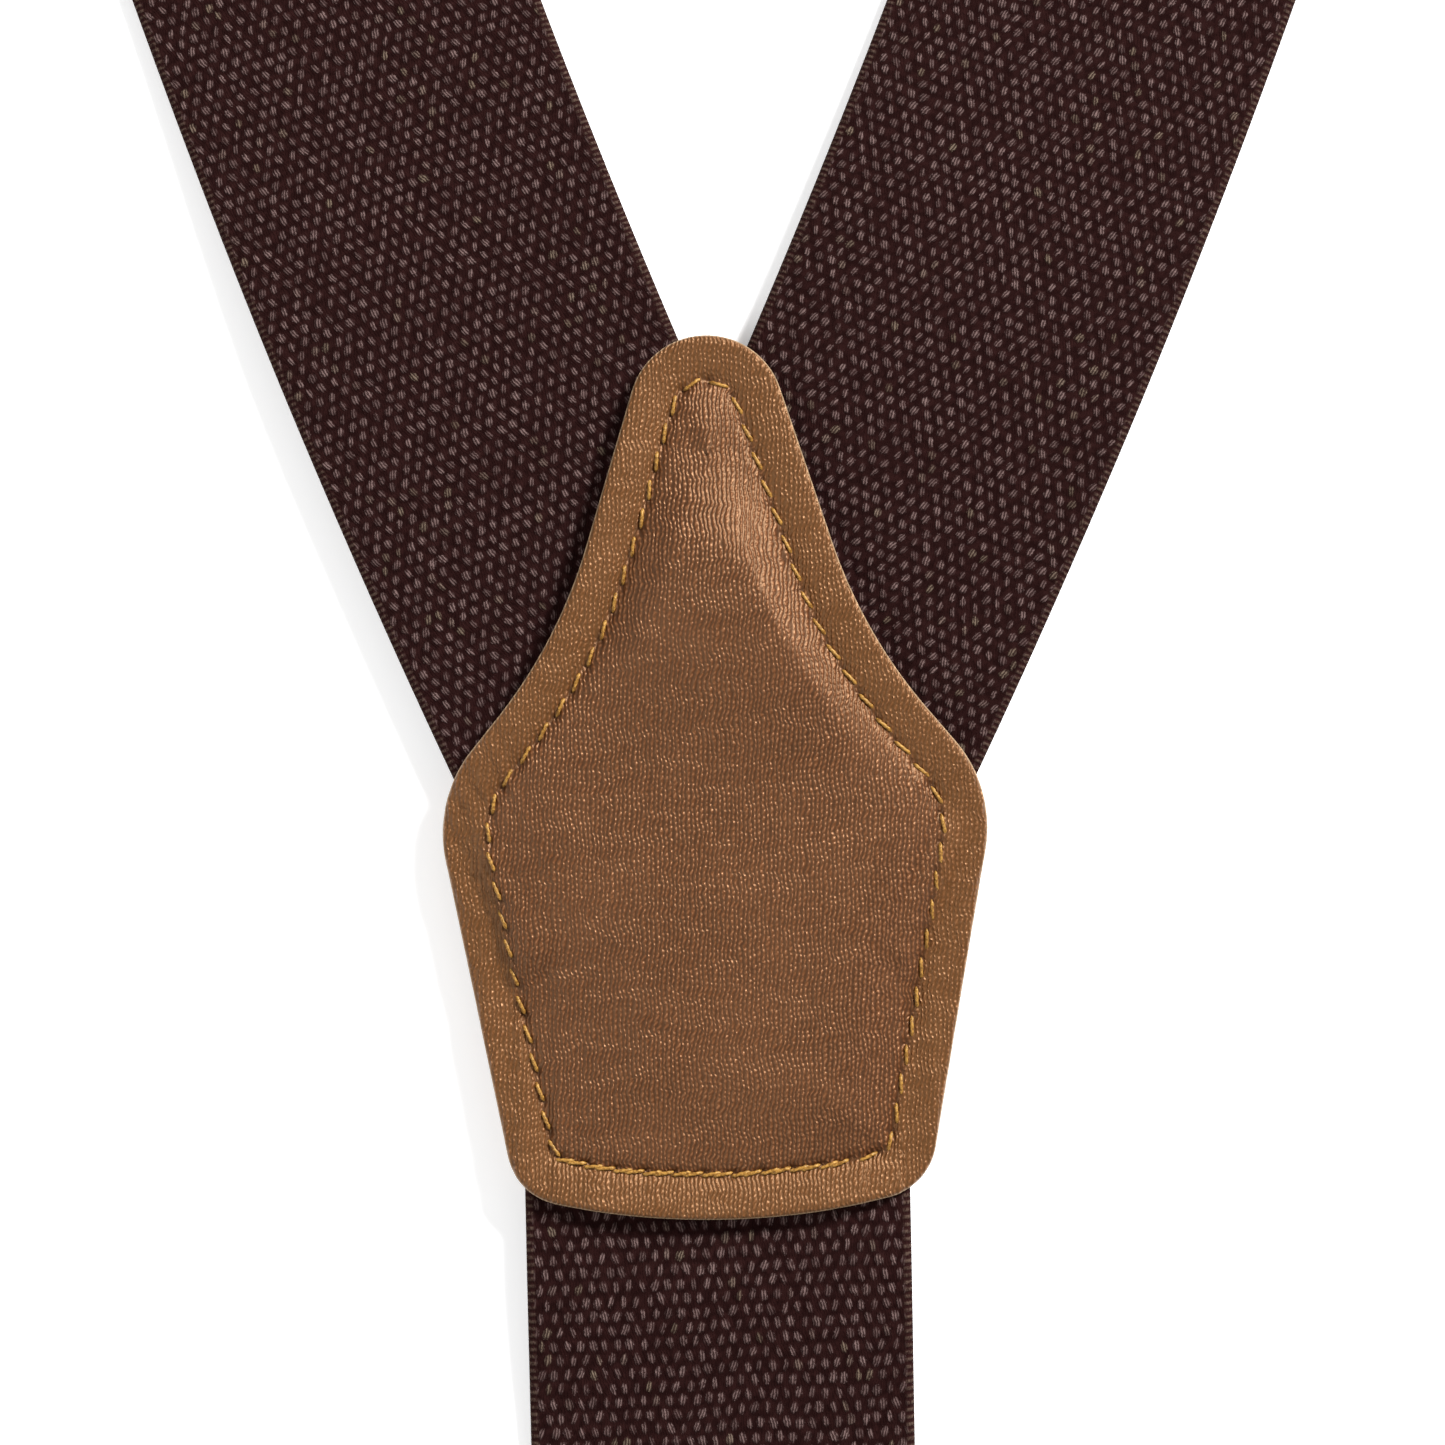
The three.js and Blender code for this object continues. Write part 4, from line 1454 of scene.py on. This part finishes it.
@dataclass
class StrapSet:
    """All the webbing: two shoulder straps with their loops and returns, and the back strap."""

    finish: bpy.types.Material
    thickness: float = 1.5 * MM
    lane_start: float = 347.8 * MM
    radius: float = 800.0 * MM
    shoulder_end: float = -8.0 * MM
    patch_half: float = 39.9 * MM
    loop_reach: float = 10.0 * MM
    tail_length: float = 20.0 * MM
    back_tail: float = 34.0 * MM
    back_top: float = 17.3 * MM
    tilt: float = 1.2
    touch_gap: float = 0.3 * MM
    metal_lead: float = 4.0 * MM
    shoulder_settle: float = 38.0 * MM
    adjuster_climb: float = 50.0 * MM
    adjuster_run_out: float = 8.0 * MM
    patch_lead: float = 2.0 * MM
    back_settle: float = 26.0 * MM
    back_climb: float = 38.0 * MM
    turn_lead: float = 3.0 * MM
    tack_box: tuple[float, float] = (13.5 * MM, 6.0 * MM)
    tack_pitch: float = 2.6 * MM

    def back_axes(self) -> tuple[Vector, Vector]:
        """Works out the back strap's directions.

        Returns:
            The direction out along it, and the one across it.
        """
        sine, cosine = math.sin(math.radians(self.tilt)), math.cos(math.radians(self.tilt))
        return Vector((sine, -cosine, 0.0)), Vector((-cosine, -sine, 0.0))

    def width(self) -> float:
        """Returns the webbing's width, from the loop round a clip's bar."""
        low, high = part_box("left_strap_loop")
        return high.x - low.x

    def shoulder(self, prefix: str, side: float, over: StrapLayers | None) -> bpy.types.Object:
        """Builds a shoulder strap from under the patch to its turn round the clip's bar.

        Args:
            prefix: left or right.
            side: -1 for left, 1 for right.
            over: Layers that the strap crosses over inside the patch, if any.

        Returns:
            The finished piece.
        """
        bar = joint_place(f"{prefix}_clip_swing")
        lane = abs(bar.x)
        frame_low, frame_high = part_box(f"{prefix}_adjuster_frame")
        travel = joint(f"{prefix}_adjuster_slide")["range_m"][1]
        upper = 2 * bar.z - self.thickness
        over_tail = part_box(f"{prefix}_strap_return")[1].z + self.touch_gap
        keys = [
            (self.patch_half - self.patch_lead, self.thickness),
            (self.patch_half + self.shoulder_settle, 0.0),
            (frame_low.y - self.adjuster_climb, 0.0),
            (frame_low.y - self.metal_lead, over_tail),
            (frame_high.y + travel + self.adjuster_run_out, over_tail),
            (bar.y - self.loop_reach - self.metal_lead, upper),
        ]
        route = StrapRoute()
        steepest = math.asin((self.lane_start - self.shoulder_end) / self.radius)
        steps = 180
        for i in range(steps):
            angle = steepest * (1 - i / steps)
            x = side * (lane - self.radius * (1 - math.cos(angle)))
            y = self.lane_start - self.radius * math.sin(angle)
            z = ramp_height(keys, y) + self.thickness / 2
            route.add(Vector((x, y, z)), Vector((math.cos(angle), -side * math.sin(angle), 0.0)))
        across = Vector((1.0, 0.0, 0.0))
        for y in np.linspace(self.lane_start, bar.y, 200):
            route.add(Vector((side * lane, y, ramp_height(keys, y) + self.thickness / 2)), across)
        turn_from = route.lengths()[-1] - self.turn_lead
        route.half_turn(bar, bar.z - self.thickness / 2, math.pi / 2, Vector((0.0, 1.0, 0.0)), across)
        route.add(Vector((side * lane, bar.y - self.loop_reach, self.thickness / 2)), across)
        band = WebbingBand(
            name=f"{prefix}_shoulder_webbing",
            route=route,
            width=self.width(),
            thickness=self.thickness,
            rows_per_repeat=1.08,
            fine=(6 * MM, 92 * MM),
            turn_from=turn_from,
            over=over,
            seed=2.0 + side,
        )
        piece = band.build(self.finish)
        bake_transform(piece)
        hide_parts(f"{prefix}_shoulder_strap", f"{prefix}_strap_loop")
        self.width()
        return piece

    def return_run(self, prefix: str, side: float) -> bpy.types.Object:
        """Builds the strap's run back from the clip with its end folded round the adjuster's anchor bar.

        Args:
            prefix: left or right.
            side: -1 for left, 1 for right.

        Returns:
            The finished piece.
        """
        bar = joint_place(f"{prefix}_clip_swing")
        low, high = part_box(f"{prefix}_strap_return")
        radius = (high.z - self.thickness) / 2
        anchor = Vector((bar.x, low.y + radius + self.thickness / 2, high.z / 2))
        across = Vector((1.0, 0.0, 0.0))
        route = StrapRoute()
        for y in np.linspace(bar.y - self.loop_reach, anchor.y, 60):
            route.add(Vector((bar.x, y, self.thickness / 2)), across)
        turn_from = route.lengths()[-1] - 2 * MM
        route.half_turn(anchor, radius, -math.pi / 2, Vector((0.0, 1.0, 0.0)), across)
        route.add(Vector((bar.x, anchor.y + self.tail_length, high.z - self.thickness / 2)), across)
        band = WebbingBand(
            name=f"{prefix}_return_webbing",
            route=route,
            width=self.width(),
            thickness=self.thickness,
            turn_from=turn_from,
            turn_step=0.001,
            seed=6.0 + side,
            columns=40,
        )
        piece = band.build(self.finish)
        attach(piece, f"{prefix}_adjuster")
        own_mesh(piece)
        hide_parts(f"{prefix}_strap_return")
        self.width()
        return piece

    def back(self) -> bpy.types.Object:
        """Builds the back strap with its turn round the back clip's bar.

        Returns:
            The finished piece.
        """
        bar = joint_place("back_clip_swing")
        outward, across = self.back_axes()
        foot = bar - outward * bar.xy.length
        foot.z = 0.0
        clip_at = (bar.xy - foot.xy).length
        tail_end = clip_at - self.back_tail
        upper = 2 * bar.z - self.thickness
        keys = [
            (self.patch_half + self.patch_lead, self.thickness),
            (self.patch_half + self.back_settle, 0.0),
            (tail_end - self.back_climb, 0.0),
            (tail_end - self.metal_lead, upper),
        ]
        route = StrapRoute()
        for at in np.linspace(self.back_top, clip_at, 220):
            height = ramp_height(keys, at) + self.thickness / 2
            route.add(foot + outward * at + Vector((0.0, 0.0, height)), across)
        turn_from = route.lengths()[-1] - self.turn_lead
        route.half_turn(bar, bar.z - self.thickness / 2, math.pi / 2, outward, across)
        route.add(foot + outward * tail_end + Vector((0.0, 0.0, self.thickness / 2)), across)
        band = WebbingBand(
            name="back_webbing",
            route=route,
            width=self.width(),
            thickness=self.thickness,
            rows_per_repeat=1.325,
            skew=-0.03,
            fine=(14 * MM, 62 * MM),
            turn_from=turn_from,
            seed=13.0,
        )
        piece = band.build(self.finish)
        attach(piece, "root")
        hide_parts("back_strap")
        self.width()
        return piece

    def tack(self, material: bpy.types.Material) -> bpy.types.Object:
        """Builds the box of stitches that holds the back strap's turned end.

        Args:
            material: The thread.

        Returns:
            The finished piece.
        """
        bar = joint_place("back_clip_swing")
        outward, across = self.back_axes()
        middle = box_middle("back_strap_thread")
        top = 2 * bar.z + 0.02 * MM
        half_width, half_length = self.tack_box
        corners = [(-1, -1), (1, -1), (1, 1), (-1, 1), (-1, -1), (1, 1), (-1, 1), (1, -1)]
        shape = bmesh.new()
        row = StitchRow()
        for (ax, ay), (bx, by) in zip(corners, corners[1:]):
            a = middle + across * ax * half_width + outward * ay * half_length
            b = middle + across * bx * half_width + outward * by * half_length
            count = max(1, round((b - a).length / self.tack_pitch))
            for i in range(count):
                start = a.lerp(b, (i + 0.1) / count)
                end = a.lerp(b, (i + 0.9) / count)
                start.z = end.z = top
                row.add(shape, start, end)
        piece = finished("back_tack_stitches", shape, material)
        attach(piece, "root")
        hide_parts("back_strap_thread")
        return piece


# ------------------------------------------------------------------ hardware


@dataclass
class Hardware:
    """Metal and moulded pieces: the CAD solids with their stamped edges broken."""

    nickel: bpy.types.Material
    grip: bpy.types.Material
    edge_break: float = 0.22 * MM
    grip_share: float = 0.5
    weld: float = 2e-6
    facet_angle: float = 0.8
    edge_angle: float = 28.0
    sharp_angle: float = 50.0

    def dress(self, node: str) -> bpy.types.Object:
        """Replaces a hard CAD node with a copy whose sharp edges are rounded.

        Args:
            node: Name of the CAD node.

        Returns:
            The finished piece.
        """
        source = frame["nodes"][node]
        is_grip = node.endswith("pad")
        shape = bmesh.new()
        shape.from_mesh(source.data)
        bmesh.ops.remove_doubles(shape, verts=shape.verts, dist=self.weld)
        bmesh.ops.dissolve_limit(
            shape,
            angle_limit=math.radians(self.facet_angle),
            verts=shape.verts,
            edges=shape.edges,
            use_dissolve_boundaries=False,
        )
        ending = "moulded" if is_grip else "plated"
        piece = finished(f"{node}_{ending}", shape, self.grip if is_grip else self.nickel)
        bevel = piece.modifiers.new("broken_edges", "BEVEL")
        bevel.width = self.edge_break * (self.grip_share if is_grip else 1.0)
        bevel.segments = 2
        bevel.limit_method = "ANGLE"
        bevel.angle_limit = math.radians(self.edge_angle)
        bevel.use_clamp_overlap = True
        bevel.harden_normals = False
        for face in piece.data.polygons:
            face.use_smooth = True
        piece.data.set_sharp_from_angle(angle=math.radians(self.sharp_angle))
        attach(piece, source["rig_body"])
        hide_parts(node)
        return piece

    def build(self) -> list[bpy.types.Object]:
        """Dresses every hard CAD node and returns the new pieces."""
        hard = ("adjuster_frame", "adjuster_clamp", "pin", "clip_base", "clip_jaw", "clip_lever", "pad")
        return [self.dress(node) for node in sorted(frame["nodes"]) if node.endswith(hard)]


# ------------------------------------------------------------------ studio


@dataclass(frozen=True)
class Studio:
    """Pale floor, soft light and a camera that looks straight down at the patch."""

    view_width: float = 130.7 * MM
    centre: tuple[float, float] = (0.77 * MM, 4.93 * MM)
    lens: float = 100.0
    sensor: float = 36.0
    subject_height: float = 4.0 * MM
    floor_size: float = 6.0
    floor_drop: float = 0.05 * MM
    aim: tuple[float, float, float] = (0.0, 0.1, 0.0)
    key_offset: tuple[float, float, float] = (1.18, 1.14, 1.15)
    key_size: float = 0.45
    key_power: float = 97.0
    fill_offset: tuple[float, float, float] = (-1.30, -0.70, 1.70)
    fill_size: float = 1.6
    fill_power: float = 24.0

    def build_floor(self) -> bpy.types.Object:
        """Lays the floor.

        Returns:
            The floor.
        """
        shape = bmesh.new()
        bmesh.ops.create_grid(shape, x_segments=4, y_segments=4, size=self.floor_size)
        bmesh.ops.translate(shape, verts=shape.verts, vec=(0.0, 0.0, -self.floor_drop))
        mesh = bpy.data.meshes.new("floor")
        shape.to_mesh(mesh)
        shape.free()
        mesh.materials.append(FloorFinish().material())
        floor = bpy.data.objects.new("floor", mesh)
        bpy.context.scene.collection.objects.link(floor)
        return floor

    def add_light(self, name: str, place: Vector, aim: Vector, size: float, power: float) -> None:
        """Adds a square soft light.

        Args:
            name: Name of the light.
            place: Where it stands.
            aim: Where it points.
            size: Side of the square, in metres.
            power: Power in watts.
        """
        data = bpy.data.lights.new(name, "AREA")
        data.shape = "SQUARE"
        data.size = size
        data.energy = power
        lamp = bpy.data.objects.new(name, data)
        lamp.location = place
        lamp.rotation_euler = (aim - place).to_track_quat("-Z", "Y").to_euler()
        bpy.context.scene.collection.objects.link(lamp)

    def build_world(self) -> None:
        """Sets up a pale surround that is dimmer straight overhead."""
        world = bpy.data.worlds.new("studio")
        world.use_nodes = True
        nodes, links = world.node_tree.nodes, world.node_tree.links
        background = nodes["Background"]
        background.inputs[0].default_value = (1.0, 1.0, 1.0, 1.0)
        direction = nodes.new("ShaderNodeTexCoord")
        split = nodes.new("ShaderNodeSeparateXYZ")
        fall = nodes.new("ShaderNodeMapRange")
        fall.interpolation_type = "SMOOTHSTEP"
        for name, number in (("From Min", 0.45), ("From Max", 0.95), ("To Min", 0.70), ("To Max", 0.22)):
            fall.inputs[name].default_value = number
        links.new(direction.outputs["Generated"], split.inputs[0])
        links.new(split.outputs["Z"], fall.inputs["Value"])
        links.new(fall.outputs["Result"], background.inputs["Strength"])
        bpy.context.scene.world = world

    def build(self) -> None:
        """Sets up floor, lights, world and camera."""
        self.build_floor()
        aim = Vector(self.aim)
        self.add_light("key_light", aim + Vector(self.key_offset), aim, self.key_size, self.key_power)
        self.add_light("fill_light", aim + Vector(self.fill_offset), aim, self.fill_size, self.fill_power)
        self.build_world()
        bpy.context.scene.view_settings.view_transform = "Standard"
        camera = bpy.data.cameras.new("camera")
        camera.lens = self.lens
        camera.sensor_width = self.sensor
        camera.clip_start = 0.01
        camera.clip_end = 50.0
        camera.dof.use_dof = False
        holder = bpy.data.objects.new("camera", camera)
        distance = self.view_width * self.lens / self.sensor
        holder.location = (*self.centre, distance + self.subject_height)
        bpy.context.scene.collection.objects.link(holder)
        bpy.context.scene.camera = holder


def main() -> None:
    """Builds every sub-assembly in turn and reports the pieces."""
    logging.basicConfig(level=logging.INFO, format="%(name)s: %(message)s")
    Studio().build()
    thread = ThreadFinish().material()
    straps = StrapSet(WebbingFinish().material())
    layers = StrapLayers(
        half_width=straps.width() / MM / 2,
        lane=abs(joint_place("left_clip_swing").x) / MM,
    )
    patch = LeatherPatch(layers)
    leather = LeatherFinish().material()
    # The lining's grain has the same painted shade in its creases and painted highlight on its tips.
    lining = LeatherFinish(
        name="patch_lining_hide",
        crease_shade=(0.045, 0.026, 0.018, 1.0),
        base=(0.090, 0.056, 0.040, 1.0),
        tip_highlight=(0.150, 0.105, 0.080, 1.0),
    ).material()
    pieces = [
        patch.build_lining(lining),
        straps.shoulder("left", -1.0, None),
        straps.shoulder("right", 1.0, layers),
        straps.back(),
        straps.return_run("left", -1.0),
        straps.return_run("right", 1.0),
        straps.tack(thread),
        patch.build_face(leather),
        patch.build_seam(thread),
    ]
    pieces += Hardware(NickelFinish().material(), GripFinish().material()).build()
    for piece in pieces:
        LOG.info("%s: %d faces", piece.name, len(piece.data.polygons))


if __name__ == "__main__":
    main()
